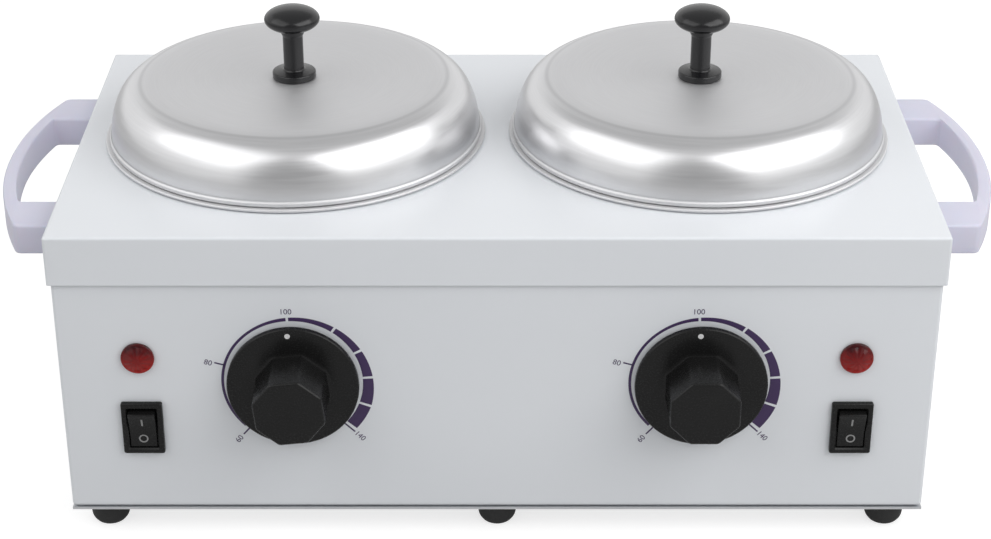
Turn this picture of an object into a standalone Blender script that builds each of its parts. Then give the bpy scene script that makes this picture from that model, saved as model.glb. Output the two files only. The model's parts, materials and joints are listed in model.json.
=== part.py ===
# Double wax warmer: a folded steel housing with two heated wells, each with a
# lift-out wax pot and a lid, and for each well a dial, a switch and a lamp.
# Metres, +Z up. The front faces -Y, and the origin lies on the surface that the
# feet stand on, under the middle of the whole model's box.

import math

import bmesh
import bpy
from mathutils import Matrix, Vector

# Gaps and tolerances
FIT_GAP = 0.0003
SCREW_CLEARANCE = 0.0004
CUT_OVERRUN = 0.002
MERGE_DISTANCE = 0.00001

# Cover and body, folded from sheet steel round the wells and what lies by them
SKIRT_HEIGHT = 0.0188
SHEET = 0.0009
FOLD_RADIUS = 0.0015
BODY_LIP = 0.02
BOTTOM_SHEET = 0.001
LID_END_MARGIN = 0.01115
THERMOSTAT_CLEARANCE = 0.0039
UNDER_WELL_SPACE = 0.0384

# Feet and their screws
FOOT_SIDE_SETBACK = 0.0119
FOOT_SETBACK = 0.0115
FOOT_HEIGHT = 0.0105
FOOT_TOP_RADIUS = 0.0075
FOOT_BASE_RADIUS = 0.0052
FOOT_COLLAR = 0.003
FOOT_RECESS_RADIUS = 0.0033
FOOT_RECESS_DEPTH = 0.0042
FOOT_SCREW_RADIUS = 0.0016
FOOT_SCREW_HEAD_RADIUS = 0.0029
FOOT_SCREW_HEAD = 0.0018
FOOT_SCREW_TAIL = 0.003

# Bow handles on the ends
HANDLE_THICKNESS = 0.0118
HANDLE_OVERHANG = 0.0006
HANDLE_HALF_LENGTH = 0.0581
HANDLE_HALF_OPENING = 0.0376
HANDLE_SHOULDER_REACH = 0.0152
HANDLE_BOW_RISE = 0.0125
HANDLE_BOW_THICKNESS = 0.0052
HANDLE_INNER_RISE = 0.0052
HANDLE_FORWARD = 0.0019
HANDLE_EDGE_RADIUS = 0.0008
HANDLE_SCREW_RADIUS = 0.0018
HANDLE_SCREW_HEAD_RADIUS = 0.0033
HANDLE_SCREW_HEAD = 0.0021
HANDLE_SCREW_GRIP = 0.011

# Wells, heating bands and lift-out pots
POT_RADIUS = 0.0575
POT_WALL = 0.0012
POT_DEPTH = 0.072
POT_CORNER_RADIUS = 0.009
POT_RIM_WIDTH = 0.0147
POT_SETBACK = 0.0055
WELL_CLEARANCE = 0.0012
WELL_FLOOR_CLEARANCE = 0.0008
WELL_WALL = 0.0012
WELL_FLANGE_WIDTH = 0.0066
BAND_THICKNESS = 0.002
BAND_HEIGHT = 0.04
BAND_DROP = 0.024

# Lids, with a slightly dished crown inside a rounded shoulder
LID_INSET = 0.002
LID_GAP = 0.0121
LID_WALL = 0.001
LID_SHOULDER_RISE = 0.0236
LID_DISH = 0.0025
LID_SHOULDER_POWER_SHARE = 12.0
LID_WALL_POWER_SHARE = 1.75
LID_BEAD = 0.0005
LID_BEAD_HEIGHT = 0.0014
LID_KNOB_RADIUS = 0.0104
LID_KNOB_HALF_THICKNESS = 0.0047
LID_KNOB_HEIGHT = 0.0278
LID_KNOB_STEM_RADIUS = 0.0038
LID_KNOB_FLANGE_RADIUS = 0.0078
LID_KNOB_FLANGE = 0.003
LID_KNOB_FLANGE_RISE = 0.0005
LID_SCREW_RADIUS = 0.0016
LID_SCREW_HEAD_RADIUS = 0.0036
LID_SCREW_HEAD = 0.002
LID_SCREW_GRIP = 0.008

# Dials and thermostats
DIAL_INWARD = 0.0035
DIAL_DROP = 0.0585
DIAL_RADIUS = 0.0239
DIAL_REACH = 0.023
DIAL_STANDOFF = 0.0018
DIAL_SKIRT = 0.0024
DIAL_SKIRT_BEVEL = 0.0008
GRIP_FACES = 8
GRIP_APOTHEM = 0.0124
GRIP_BASE_APOTHEM = 0.0127
GRIP_EDGE_RADIUS = 0.0009
LEFT_DIAL_TURN = math.radians(-6)
SHAFT_RADIUS = 0.003
SHAFT_GRIP = 0.013
SHAFT_SEAT = 0.009
SHAFT_HOLE_RADIUS = 0.0045
THERMOSTAT_WIDTH = 0.036
THERMOSTAT_RISE = 0.021
THERMOSTAT_FOOT = 0.0025
THERMOSTAT_TERMINAL_RISE = 0.005
THERMOSTAT_DEPTH = 0.017
THERMOSTAT_EDGE_RADIUS = 0.0012
THERMOSTAT_SCREW_INSET = 0.004
THERMOSTAT_SCREW_RADIUS = 0.0018
THERMOSTAT_SCREW_HEAD_RADIUS = 0.0034
THERMOSTAT_SCREW_HEAD = 0.0012
THERMOSTAT_SCREW_LENGTH = 0.007
BULB_RADIUS = 0.003
BULB_LENGTH = 0.045
CAPILLARY_RADIUS = 0.001

# Rocker switches
CONTROL_INSET = 0.03
SWITCH_DROP = 0.077
BEZEL_WIDTH = 0.015
BEZEL_HEIGHT = 0.021
BEZEL_THICKNESS = 0.002
BEZEL_EDGE_RADIUS = 0.0007
BEZEL_LIP = 0.001
SWITCH_BODY_DEPTH = 0.0135
SWITCH_WALL = 0.0013
SWITCH_CAVITY_DEPTH = 0.007
ROCKER_END_CLEARANCE = 0.0007
ROCKER_END_RISE = 0.003
ROCKER_MIDDLE_RISE = 0.0022
ROCKER_BACK = 0.002
ROCKER_TILT = math.radians(10)
BLADE_WIDTH = 0.0048
BLADE_THICKNESS = 0.0008
BLADE_LENGTH = 0.007
BLADE_SPACING = 0.007

# Indicator lamps
LAMP_DROP = 0.0482
LENS_RADIUS = 0.006
LENS_RIM = 0.0012
LENS_RISE = 0.0032
LENS_LIP = 0.0013
LENS_NECK_DEPTH = 0.006
LAMP_WALL = 0.0015
LAMP_BODY_DEPTH = 0.02

# Cord gland and terminal block
GLAND_RISE = 0.0168
GLAND_REACH = 0.013
GLAND_BORE_RADIUS = 0.004
GLAND_WALL = 0.002
GLAND_COLLAR_WIDTH = 0.0035
GLAND_COLLAR = 0.005
GLAND_SHOULDER_WIDTH = 0.0022
GLAND_NECK_DEPTH = 0.009
NUT_WIDTH = 0.0022
NUT_THICKNESS = 0.0035
BLOCK_WIDTH = 0.042
BLOCK_DEPTH = 0.016
BLOCK_BASE = 0.006
BLOCK_RIDGE_DEPTH = 0.009
BLOCK_RIDGE = 0.006
BLOCK_WAYS = 3
BLOCK_SCREW_RADIUS = 0.0018
BLOCK_SCREW_DEPTH = 0.003
BLOCK_BACK = 0.035
BLOCK_TURRET_SHARE = 0.7

# Leads between the block, the switches and the thermostats, and the bands' tabs
LEAD_RADIUS = 0.0015
LEAD_BEND = 0.005
BAND_TAB_DROP = 0.05
BAND_TAB_THICKNESS = 0.0008
BAND_TAB_WIDTH = 0.0063

# Facets on round pieces
POT_SIDES = 32
KNOB_SIDES = 16
DIAL_SIDES = 32
SMALL_SIDES = 12
SCREW_SIDES = 8

# Places worked out from the sizes above
SIDES = (("left", -1), ("right", 1))
PANEL_BACK = SHEET + FIT_GAP
WELL_RADIUS = POT_RADIUS + WELL_CLEARANCE
WELL_OUTER_RADIUS = WELL_RADIUS + WELL_WALL
WELL_FLANGE_RADIUS = WELL_OUTER_RADIUS + WELL_FLANGE_WIDTH
BAND_RADIUS = WELL_OUTER_RADIUS + FIT_GAP + BAND_THICKNESS
POT_RIM_RADIUS = POT_RADIUS + POT_RIM_WIDTH
LID_RADIUS = POT_RIM_RADIUS - LID_INSET
POT_X = LID_RADIUS + LID_BEAD + LID_GAP / 2
COVER_WIDTH = 2 * (POT_X + LID_RADIUS + LID_BEAD + LID_END_MARGIN)
COVER_DEPTH = 2 * (BAND_RADIUS + THERMOSTAT_CLEARANCE + THERMOSTAT_DEPTH + 2 * PANEL_BACK)
WELL_DEPTH = POT_DEPTH + WELL_FLOOR_CLEARANCE + WELL_WALL - FIT_GAP
HOUSING_HEIGHT = WELL_DEPTH + UNDER_WELL_SPACE + BOTTOM_SHEET
COVER_TOP_Z = FOOT_HEIGHT + FIT_GAP + HOUSING_HEIGHT
COVER_INSIDE_Z = COVER_TOP_Z - SHEET
BOTTOM_Z = FOOT_HEIGHT + FIT_GAP
BODY_LOW_Z = BOTTOM_Z + BOTTOM_SHEET + FIT_GAP
BODY_TOP_Z = COVER_INSIDE_Z - FIT_GAP
BODY_HEIGHT = BODY_TOP_Z - BODY_LOW_Z
BODY_WIDTH = COVER_WIDTH - 2 * PANEL_BACK
BODY_DEPTH = COVER_DEPTH - 2 * PANEL_BACK
MIDDLE_Y = (DIAL_REACH - GLAND_REACH) / 2
POT_Y = MIDDLE_Y + POT_SETBACK
FRONT_Y = MIDDLE_Y - BODY_DEPTH / 2
REAR_Y = MIDDLE_Y + BODY_DEPTH / 2
POT_RIM_Z = COVER_TOP_Z + FIT_GAP
LID_LIP_Z = POT_RIM_Z + POT_WALL + FIT_GAP
LID_TOP_Z = LID_LIP_Z + LID_SHOULDER_RISE - LID_DISH
WELL_TOP_Z = COVER_INSIDE_Z - FIT_GAP
WELL_FLOOR_Z = COVER_TOP_Z - WELL_DEPTH
FOOT_X = BODY_WIDTH / 2 - FOOT_SIDE_SETBACK
HANDLE_Y = MIDDLE_Y - HANDLE_FORWARD
HANDLE_Z = COVER_TOP_Z - SKIRT_HEIGHT - HANDLE_OVERHANG + HANDLE_THICKNESS / 2
HANDLE_ARM = (HANDLE_HALF_LENGTH + HANDLE_HALF_OPENING) / 2
LID_SCREW_HOLE_RADIUS = LID_SCREW_RADIUS + SCREW_CLEARANCE
DIAL_X = POT_X - DIAL_INWARD
DIAL_Z = COVER_TOP_Z - DIAL_DROP
THERMOSTAT_SCREW_SPACING = THERMOSTAT_WIDTH - 2 * THERMOSTAT_SCREW_INSET
BULB_Z = WELL_FLOOR_Z - FIT_GAP - BULB_RADIUS
THERMOSTAT_LOW_Z = BULB_Z - THERMOSTAT_FOOT
CONTROL_X = COVER_WIDTH / 2 - CONTROL_INSET
SWITCH_Z = COVER_TOP_Z - SWITCH_DROP
SWITCH_BODY_WIDTH = BEZEL_WIDTH - 2 * BEZEL_LIP
SWITCH_BODY_HEIGHT = BEZEL_HEIGHT - 2 * BEZEL_LIP
SWITCH_BACK_Y = FRONT_Y - FIT_GAP + SWITCH_BODY_DEPTH
SWITCH_CAVITY_WIDTH = SWITCH_BODY_WIDTH - 2 * SWITCH_WALL
SWITCH_CAVITY_HEIGHT = SWITCH_BODY_HEIGHT - 2 * SWITCH_WALL
ROCKER_WIDTH = SWITCH_CAVITY_WIDTH - 2 * FIT_GAP
ROCKER_HALF_LENGTH = SWITCH_CAVITY_HEIGHT / 2 - ROCKER_END_CLEARANCE
LAMP_Z = COVER_TOP_Z - LAMP_DROP
LENS_NECK_RADIUS = LENS_RADIUS - LENS_LIP
LAMP_BODY_RADIUS = LENS_NECK_RADIUS + FIT_GAP + LAMP_WALL
GLAND_Z = BODY_LOW_Z + GLAND_RISE
GLAND_NECK_RADIUS = GLAND_BORE_RADIUS + GLAND_WALL
GLAND_COLLAR_RADIUS = GLAND_NECK_RADIUS + GLAND_COLLAR_WIDTH
GLAND_SHOULDER_RADIUS = GLAND_NECK_RADIUS + GLAND_SHOULDER_WIDTH
BLOCK_Y = MIDDLE_Y + BLOCK_BACK
BLOCK_Z = BODY_LOW_Z


def clear_scene():
    """Remove every object that the file opened with."""
    for obj in list(bpy.data.objects):
        bpy.data.objects.remove(obj, do_unlink=True)


def make_collection(name):
    """Add a named collection to the scene."""
    collection = bpy.data.collections.new(name)
    bpy.context.scene.collection.children.link(collection)
    return collection


def make_material(name, colour, roughness, metallic=0.0):
    """Make a Principled material from a colour, a roughness and a metallic value."""
    material = bpy.data.materials.new(name)
    material.use_nodes = True
    shader = material.node_tree.nodes["Principled BSDF"]
    shader.inputs["Base Color"].default_value = (*colour, 1.0)
    shader.inputs["Roughness"].default_value = roughness
    shader.inputs["Metallic"].default_value = metallic
    material.diffuse_color = (*colour, 1.0)
    return material


def add_piece(name, mesh, finish, location=(0, 0, 0), turn=(0, 0, 0)):
    """Put one piece of the warmer in its collection, with a material of its own."""
    obj = bpy.data.objects.new(name, mesh)
    colour, roughness, metallic = finish
    mesh.materials.append(make_material(name, colour, roughness, metallic))
    obj.location = location
    obj.rotation_euler = turn
    PARTS.objects.link(obj)
    return obj


def add_tool(name, mesh, location=(0, 0, 0), turn=(0, 0, 0)):
    """Put a shape that cuts or joins a piece in the collection of cutters."""
    obj = bpy.data.objects.new(name, mesh)
    obj.location = location
    obj.rotation_euler = turn
    obj.hide_render = True
    obj.display_type = "WIRE"
    CUTTERS.objects.link(obj)
    return obj


def add_axis(name, location, turn=(0, 0, 0)):
    """Put an empty on the axis that a group of pieces shares."""
    empty = bpy.data.objects.new(name, None)
    empty.location = location
    empty.rotation_euler = turn
    PARTS.objects.link(empty)
    return empty


def boolean(obj, tool, operation):
    """Cut a piece with a tool, or join the tool to it."""
    modifier = obj.modifiers.new(tool.name, "BOOLEAN")
    modifier.operation = operation
    modifier.object = tool
    modifier.solver = "EXACT"


def solidify(obj, thickness):
    """Give an open surface a wall on its inner side."""
    modifier = obj.modifiers.new("Wall", "SOLIDIFY")
    modifier.thickness = thickness
    modifier.offset = -1
    modifier.use_even_offset = True


def bevel(obj, width, segments=2):
    """Round the edges of a piece."""
    modifier = obj.modifiers.new("Edges", "BEVEL")
    modifier.width = width
    modifier.segments = segments
    modifier.limit_method = "ANGLE"


def turn_profile(obj, sides):
    """Sweep a profile round the piece's own Z axis."""
    modifier = obj.modifiers.new("Turn", "SCREW")
    modifier.axis = "Z"
    modifier.steps = sides
    modifier.render_steps = sides
    modifier.use_merge_vertices = True
    modifier.merge_threshold = MERGE_DISTANCE
    modifier.use_smooth_shade = True


def profile_mesh(name, profile, closed=False):
    """A line of (radius, height) points, down the outer side first."""
    mesh = bpy.data.meshes.new(name)
    edges = [(index, index + 1) for index in range(len(profile) - 1)]
    if closed:
        edges.append((len(profile) - 1, 0))
    mesh.from_pydata([(radius, 0.0, height) for radius, height in profile], edges, [])
    return mesh


def turned(name, profile, finish, sides, closed=False, **place):
    """A turned piece: a profile swept round Z."""
    obj = add_piece(name, profile_mesh(name, profile, closed), finish, **place)
    turn_profile(obj, sides)
    return obj


def box_mesh(name, boxes):
    """A mesh of separate boxes, each given by its size and its centre."""
    bm = bmesh.new()
    for size, centre in boxes:
        place = Matrix.Translation(centre) @ Matrix.Diagonal((*size, 1))
        bmesh.ops.create_cube(bm, size=1, matrix=place)
    return finish_mesh(name, bm)


def cylinder_mesh(name, cylinders, axis, sides):
    """A mesh of separate cylinders along X, Y or Z: radius, length and centre of each."""
    turns = {
        "X": Matrix.Rotation(math.radians(90), 4, "Y"),
        "Y": Matrix.Rotation(math.radians(90), 4, "X"),
        "Z": Matrix.Identity(4),
    }
    bm = bmesh.new()
    for radius, length, centre in cylinders:
        bmesh.ops.create_cone(
            bm,
            cap_ends=True,
            segments=sides,
            radius1=radius,
            radius2=radius,
            depth=length,
            matrix=Matrix.Translation(centre) @ turns[axis],
        )
    return finish_mesh(name, bm)


def finish_mesh(name, bm):
    """Turn edited geometry into a named mesh."""
    mesh = bpy.data.meshes.new(name)
    bm.to_mesh(mesh)
    bm.free()
    return mesh


def outline_mesh(name, points, thickness):
    """A flat outline in the XY plane, extruded to both sides of it."""
    curve = bpy.data.curves.new(name, "CURVE")
    curve.dimensions = "2D"
    curve.fill_mode = "BOTH"
    curve.extrude = thickness / 2
    spline = curve.splines.new("POLY")
    spline.points.add(len(points) - 1)
    for corner, (x, y) in zip(spline.points, points):
        corner.co = (x, y, 0, 1)
    spline.use_cyclic_u = True
    holder = bpy.data.objects.new(name, curve)
    bpy.context.scene.collection.objects.link(holder)
    graph = bpy.context.evaluated_depsgraph_get()
    flat = bpy.data.meshes.new_from_object(holder.evaluated_get(graph))
    bpy.data.objects.remove(holder, do_unlink=True)
    bm = bmesh.new()
    bm.from_mesh(flat)
    bmesh.ops.remove_doubles(bm, verts=bm.verts, dist=MERGE_DISTANCE)
    bmesh.ops.recalc_face_normals(bm, faces=bm.faces)
    return finish_mesh(name, bm)


def arc(centre, radius, start, end, steps):
    """Points along an arc in a plane, both ends included."""
    points = []
    for step in range(steps + 1):
        angle = start + (end - start) * step / steps
        x = centre[0] + radius * math.cos(angle)
        y = centre[1] + radius * math.sin(angle)
        points.append((x, y))
    return points


def bow(half_span, base, rise, steps):
    """A shallow arc that rises by rise over a chord at x = base, from -Y to +Y."""
    radius = (half_span ** 2 + rise ** 2) / (2 * rise)
    half_angle = math.asin(half_span / radius)
    return arc((base + rise - radius, 0), radius, -half_angle, half_angle, steps)


def parent(children, empty):
    """Hang pieces on an empty, with their places counted from it."""
    for child in children:
        child.parent = empty


# Finishes: colour, roughness and metallic value of each
WHITE_ENAMEL = ((0.80, 0.82, 0.84), 0.35, 0.0)
ZINC = ((0.62, 0.63, 0.65), 0.45, 1.0)
SATIN_ALUMINIUM = ((0.78, 0.78, 0.78), 0.28, 1.0)
SPUN_ALUMINIUM = ((0.70, 0.70, 0.71), 0.42, 1.0)
LILAC_PLASTIC = ((0.64, 0.64, 0.76), 0.40, 0.0)
BLACK_PLASTIC = ((0.015, 0.015, 0.016), 0.25, 0.0)
BLACK_RUBBER = ((0.02, 0.02, 0.02), 0.75, 0.0)
RED_LENS = ((0.45, 0.02, 0.015), 0.12, 0.0)
CERAMIC = ((0.80, 0.78, 0.72), 0.60, 0.0)
MICA_STEEL = ((0.45, 0.42, 0.38), 0.55, 1.0)
COPPER = ((0.72, 0.42, 0.30), 0.30, 1.0)
NATURAL_NYLON = ((0.75, 0.74, 0.70), 0.50, 0.0)
BLACK_SLEEVE = ((0.03, 0.03, 0.03), 0.55, 0.0)
WHITE_SLEEVE = ((0.78, 0.77, 0.72), 0.60, 0.0)


def folded_shell(name, width, depth, height, low_z, open_side, lip):
    """Four walls and one end, folded from sheet with rounded bends."""
    bm = bmesh.new()
    centre = Matrix.Translation((0, MIDDLE_Y, low_z + height / 2))
    bmesh.ops.create_cube(bm, size=1, matrix=centre @ Matrix.Diagonal((width, depth, height, 1)))
    open_face = next(face for face in bm.faces if face.normal.z * open_side > 0.5)
    bmesh.ops.delete(bm, geom=[open_face], context="FACES_ONLY")
    if lip:
        end_face = next(face for face in bm.faces if face.normal.z * open_side < -0.5)
        bmesh.ops.inset_region(bm, faces=[end_face], thickness=lip, use_even_offset=True)
        bmesh.ops.delete(bm, geom=[end_face], context="FACES_ONLY")
    bends = [
        edge
        for edge in bm.edges
        if len(edge.link_faces) == 2 and edge.calc_face_angle() > math.radians(45)
    ]
    bmesh.ops.bevel(
        bm,
        geom=bends,
        offset=FOLD_RADIUS,
        offset_type="OFFSET",
        segments=2,
        profile=0.5,
        affect="EDGES",
    )
    shell = add_piece(name, finish_mesh(name, bm), WHITE_ENAMEL)
    solidify(shell, SHEET)
    return shell


def foot_places():
    """Names and places of the six feet, in two rows of three."""
    rows = (("front", FRONT_Y + FOOT_SETBACK), ("rear", REAR_Y - FOOT_SETBACK))
    columns = (("left", -FOOT_X), ("middle", 0), ("right", FOOT_X))
    return [(f"{row}_{column}", x, y) for row, y in rows for column, x in columns]


def foot_screw_holes(name, thickness, z):
    """Cylinders for the foot screws through a level sheet."""
    radius = FOOT_SCREW_RADIUS + SCREW_CLEARANCE
    length = thickness + 2 * CUT_OVERRUN
    holes = [(radius, length, (x, y, z)) for _, x, y in foot_places()]
    return add_tool(name, cylinder_mesh(name, holes, "Z", SCREW_SIDES))


def handle_screw_holes(name):
    """Cylinders for the handle screws through both ends of the housing."""
    radius = HANDLE_SCREW_RADIUS + SCREW_CLEARANCE
    length = 2 * (PANEL_BACK + CUT_OVERRUN)
    holes = []
    for _, side in SIDES:
        for end in (-1, 1):
            centre = (side * BODY_WIDTH / 2, HANDLE_Y + end * HANDLE_ARM, HANDLE_Z)
            holes.append((radius, length, centre))
    return add_tool(name, cylinder_mesh(name, holes, "X", SCREW_SIDES))


def make_cover():
    """Top cover: a shallow tray turned down over the body, with two pot holes."""
    cover = folded_shell(
        "top_cover", COVER_WIDTH, COVER_DEPTH, SKIRT_HEIGHT, COVER_TOP_Z - SKIRT_HEIGHT, -1, 0
    )
    holes = [
        (WELL_RADIUS, SHEET + 2 * CUT_OVERRUN, (side * POT_X, POT_Y, COVER_TOP_Z - SHEET / 2))
        for _, side in SIDES
    ]
    boolean(cover, add_tool("pot_holes", cylinder_mesh("pot_holes", holes, "Z", POT_SIDES)), "DIFFERENCE")
    boolean(cover, handle_screw_holes("cover_side_holes"), "DIFFERENCE")


def make_body():
    """Body: four walls with an inward lip round the bottom, and its panel holes."""
    body = folded_shell("body_shell", BODY_WIDTH, BODY_DEPTH, BODY_HEIGHT, BODY_LOW_Z, 1, BODY_LIP)
    through = SHEET + 2 * CUT_OVERRUN
    panel_y = FRONT_Y + SHEET / 2
    round_holes = []
    screw_holes = []
    windows = []
    for _, side in SIDES:
        dial = (side * DIAL_X, panel_y, DIAL_Z)
        round_holes.append((SHAFT_HOLE_RADIUS, through, dial))
        lamp = (side * CONTROL_X, panel_y, LAMP_Z)
        round_holes.append((LENS_NECK_RADIUS + FIT_GAP, through, lamp))
        for end in (-1, 1):
            place = (dial[0] + end * THERMOSTAT_SCREW_SPACING / 2, panel_y, dial[2])
            screw_holes.append((THERMOSTAT_SCREW_RADIUS + SCREW_CLEARANCE, through, place))
        window = (SWITCH_BODY_WIDTH + 2 * FIT_GAP, through, SWITCH_BODY_HEIGHT + 2 * FIT_GAP)
        windows.append((window, (side * CONTROL_X, panel_y, SWITCH_Z)))
    gland = (0, REAR_Y - SHEET / 2, GLAND_Z)
    round_holes.append((GLAND_NECK_RADIUS + FIT_GAP, through, gland))
    tools = (
        add_tool("panel_holes", cylinder_mesh("panel_holes", round_holes, "Y", KNOB_SIDES)),
        add_tool("panel_screw_holes", cylinder_mesh("panel_screw_holes", screw_holes, "Y", SCREW_SIDES)),
        add_tool("switch_windows", box_mesh("switch_windows", windows)),
        handle_screw_holes("body_side_holes"),
        foot_screw_holes("lip_holes", SHEET, BODY_LOW_Z + SHEET / 2),
    )
    for tool in tools:
        boolean(body, tool, "DIFFERENCE")


def make_bottom_plate():
    """Flat plate that closes the body from below."""
    size = (BODY_WIDTH, BODY_DEPTH, BOTTOM_SHEET)
    centre = (0, MIDDLE_Y, BOTTOM_Z + BOTTOM_SHEET / 2)
    plate = add_piece("bottom_plate", box_mesh("bottom_plate", [(size, centre)]), ZINC)
    boolean(plate, foot_screw_holes("plate_holes", BOTTOM_SHEET, centre[2]), "DIFFERENCE")


def make_feet():
    """Six rubber feet, each held by a screw up its middle."""
    bore = FOOT_SCREW_RADIUS + SCREW_CLEARANCE
    belly = (FOOT_TOP_RADIUS + FOOT_BASE_RADIUS) / 2
    foot = [
        (bore, FOOT_HEIGHT),
        (FOOT_TOP_RADIUS, FOOT_HEIGHT),
        (FOOT_TOP_RADIUS, FOOT_HEIGHT - FOOT_COLLAR),
        (belly, FOOT_COLLAR / 2),
        (FOOT_BASE_RADIUS, 0),
        (FOOT_RECESS_RADIUS, 0),
        (FOOT_RECESS_RADIUS, FOOT_RECESS_DEPTH),
        (bore, FOOT_RECESS_DEPTH),
    ]
    head_top = FOOT_RECESS_DEPTH - FIT_GAP
    shank_top = BODY_LOW_Z + SHEET + FOOT_SCREW_TAIL
    screw = screw_profile(
        FOOT_SCREW_RADIUS, FOOT_SCREW_HEAD_RADIUS, shank_top, head_top, head_top - FOOT_SCREW_HEAD
    )
    for place, x, y in foot_places():
        turned(f"foot_{place}", foot, BLACK_RUBBER, SMALL_SIDES, closed=True, location=(x, y, 0))
        turned(f"foot_screw_{place}", screw, ZINC, SCREW_SIDES, location=(x, y, 0))


def screw_profile(radius, head_radius, tip, head_top, head_base):
    """A pan-head screw that points up: shank, underside, edge and top of its head."""
    head_edge = head_base + (head_top - head_base) / 2
    return [
        (0, tip),
        (radius, tip),
        (radius, head_top),
        (head_radius, head_top),
        (head_radius, head_edge),
        (head_radius - (head_edge - head_base), head_base),
        (0, head_base),
    ]


def make_handles():
    """A bow handle on each end, with the two screws that hold it and the cover."""
    shoulder = COVER_WIDTH / 2 + HANDLE_SHOULDER_REACH
    root = COVER_WIDTH / 2 + FIT_GAP
    crest = shoulder + HANDLE_BOW_RISE
    outer = bow(HANDLE_HALF_LENGTH, shoulder, HANDLE_BOW_RISE, 10)
    inner_base = crest - HANDLE_BOW_THICKNESS - HANDLE_INNER_RISE
    inner = bow(HANDLE_HALF_OPENING, inner_base, HANDLE_INNER_RISE, 6)
    outline = [(root, -HANDLE_HALF_LENGTH)] + outer + [(root, HANDLE_HALF_LENGTH)]
    outline += [(root, HANDLE_HALF_OPENING)] + inner[::-1] + [(root, -HANDLE_HALF_OPENING)]
    screw = screw_profile(
        HANDLE_SCREW_RADIUS,
        HANDLE_SCREW_HEAD_RADIUS,
        2 * PANEL_BACK + HANDLE_SCREW_GRIP,
        -FIT_GAP,
        -FIT_GAP - HANDLE_SCREW_HEAD,
    )
    wall_inside = BODY_WIDTH / 2 - SHEET
    for name, side in SIDES:
        half_turn = math.radians(90 - side * 90)
        mesh = outline_mesh(f"handle_{name}", outline, HANDLE_THICKNESS)
        centre = (0, HANDLE_Y, HANDLE_Z)
        handle = add_piece(f"handle_{name}", mesh, LILAC_PLASTIC, centre, (0, 0, half_turn))
        bevel(handle, HANDLE_EDGE_RADIUS, 1)
        bore_length = HANDLE_SCREW_GRIP + FIT_GAP + CUT_OVERRUN
        bore_x = side * (root + (HANDLE_SCREW_GRIP + FIT_GAP - CUT_OVERRUN) / 2)
        radius = HANDLE_SCREW_RADIUS + SCREW_CLEARANCE
        bores = [
            (radius, bore_length, (bore_x, HANDLE_Y + end * HANDLE_ARM, HANDLE_Z)) for end in (-1, 1)
        ]
        tool = f"handle_bores_{name}"
        boolean(handle, add_tool(tool, cylinder_mesh(tool, bores, "X", SCREW_SIDES)), "DIFFERENCE")
        for row, end in (("front", -1), ("rear", 1)):
            turned(
                f"handle_screw_{name}_{row}",
                screw,
                ZINC,
                SCREW_SIDES,
                location=(side * wall_inside, HANDLE_Y + end * HANDLE_ARM, HANDLE_Z),
                turn=(0, side * math.radians(90), 0),
            )


def cup_profile(rim_radius, radius, rim, floor, corner):
    """Outer surface of a flanged cup: flange, wall, rounded corner and floor."""
    points = [(rim_radius, rim), (radius, rim)]
    points += arc((radius - corner, floor + corner), corner, 0, -math.radians(90), 3)
    return points + [(0, floor)]


def make_wells():
    """Spun wells under the cover, each with a heating band round it."""
    well = cup_profile(
        WELL_FLANGE_RADIUS,
        WELL_OUTER_RADIUS,
        WELL_TOP_Z - WELL_WALL - COVER_TOP_Z,
        WELL_FLOOR_Z - COVER_TOP_Z,
        POT_CORNER_RADIUS + WELL_CLEARANCE + WELL_WALL,
    )
    inner = WELL_OUTER_RADIUS + FIT_GAP
    band = [
        (BAND_RADIUS, -BAND_DROP),
        (BAND_RADIUS, -BAND_DROP - BAND_HEIGHT),
        (inner, -BAND_DROP - BAND_HEIGHT),
        (inner, -BAND_DROP),
    ]
    tab_front_y = FRONT_Y + PANEL_BACK + THERMOSTAT_DEPTH + FIT_GAP
    tab_back_y = POT_Y - BAND_RADIUS + BAND_THICKNESS / 2
    tab_size = (BAND_TAB_WIDTH, tab_back_y - tab_front_y, BAND_TAB_THICKNESS)
    for name, side in SIDES:
        place = (side * POT_X, POT_Y, COVER_TOP_Z)
        cup = turned(f"well_{name}", well, SPUN_ALUMINIUM, POT_SIDES, location=place)
        solidify(cup, WELL_WALL)
        ring = turned(f"heating_band_{name}", band, MICA_STEEL, POT_SIDES, closed=True, location=place)
        tab_centre = (place[0], (tab_front_y + tab_back_y) / 2, COVER_TOP_Z - BAND_TAB_DROP)
        tab = add_tool(f"band_tab_{name}", box_mesh(f"band_tab_{name}", [(tab_size, tab_centre)]))
        boolean(ring, tab, "UNION")


def lid_height(radius):
    """Height of the lid's outer surface over its lip: a dished crown on a rounded shoulder."""
    share = radius / LID_RADIUS
    shoulder = max(0.0, 1 - share ** LID_SHOULDER_POWER_SHARE) ** (1 / LID_WALL_POWER_SHARE)
    return LID_SHOULDER_RISE * shoulder - LID_DISH * (1 - share ** 2)


def lid_profile():
    """The lid's outer surface from its screw hole to its lip, with a small bead there."""
    crown_shares = (0.28, 0.55)
    shoulder_angles = (12, 24, 36, 48, 62, 76)
    radii = [LID_SCREW_HOLE_RADIUS] + [LID_RADIUS * share for share in crown_shares]
    for angle in shoulder_angles:
        radii.append(LID_RADIUS * math.sin(math.radians(angle)) ** (2 / LID_SHOULDER_POWER_SHARE))
    points = [(radius, lid_height(radius)) for radius in radii]
    points.append((LID_RADIUS, LID_BEAD_HEIGHT + LID_BEAD))
    points.append((LID_RADIUS + LID_BEAD, LID_BEAD_HEIGHT))
    points.append((LID_RADIUS + LID_BEAD, 0))
    return points


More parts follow.
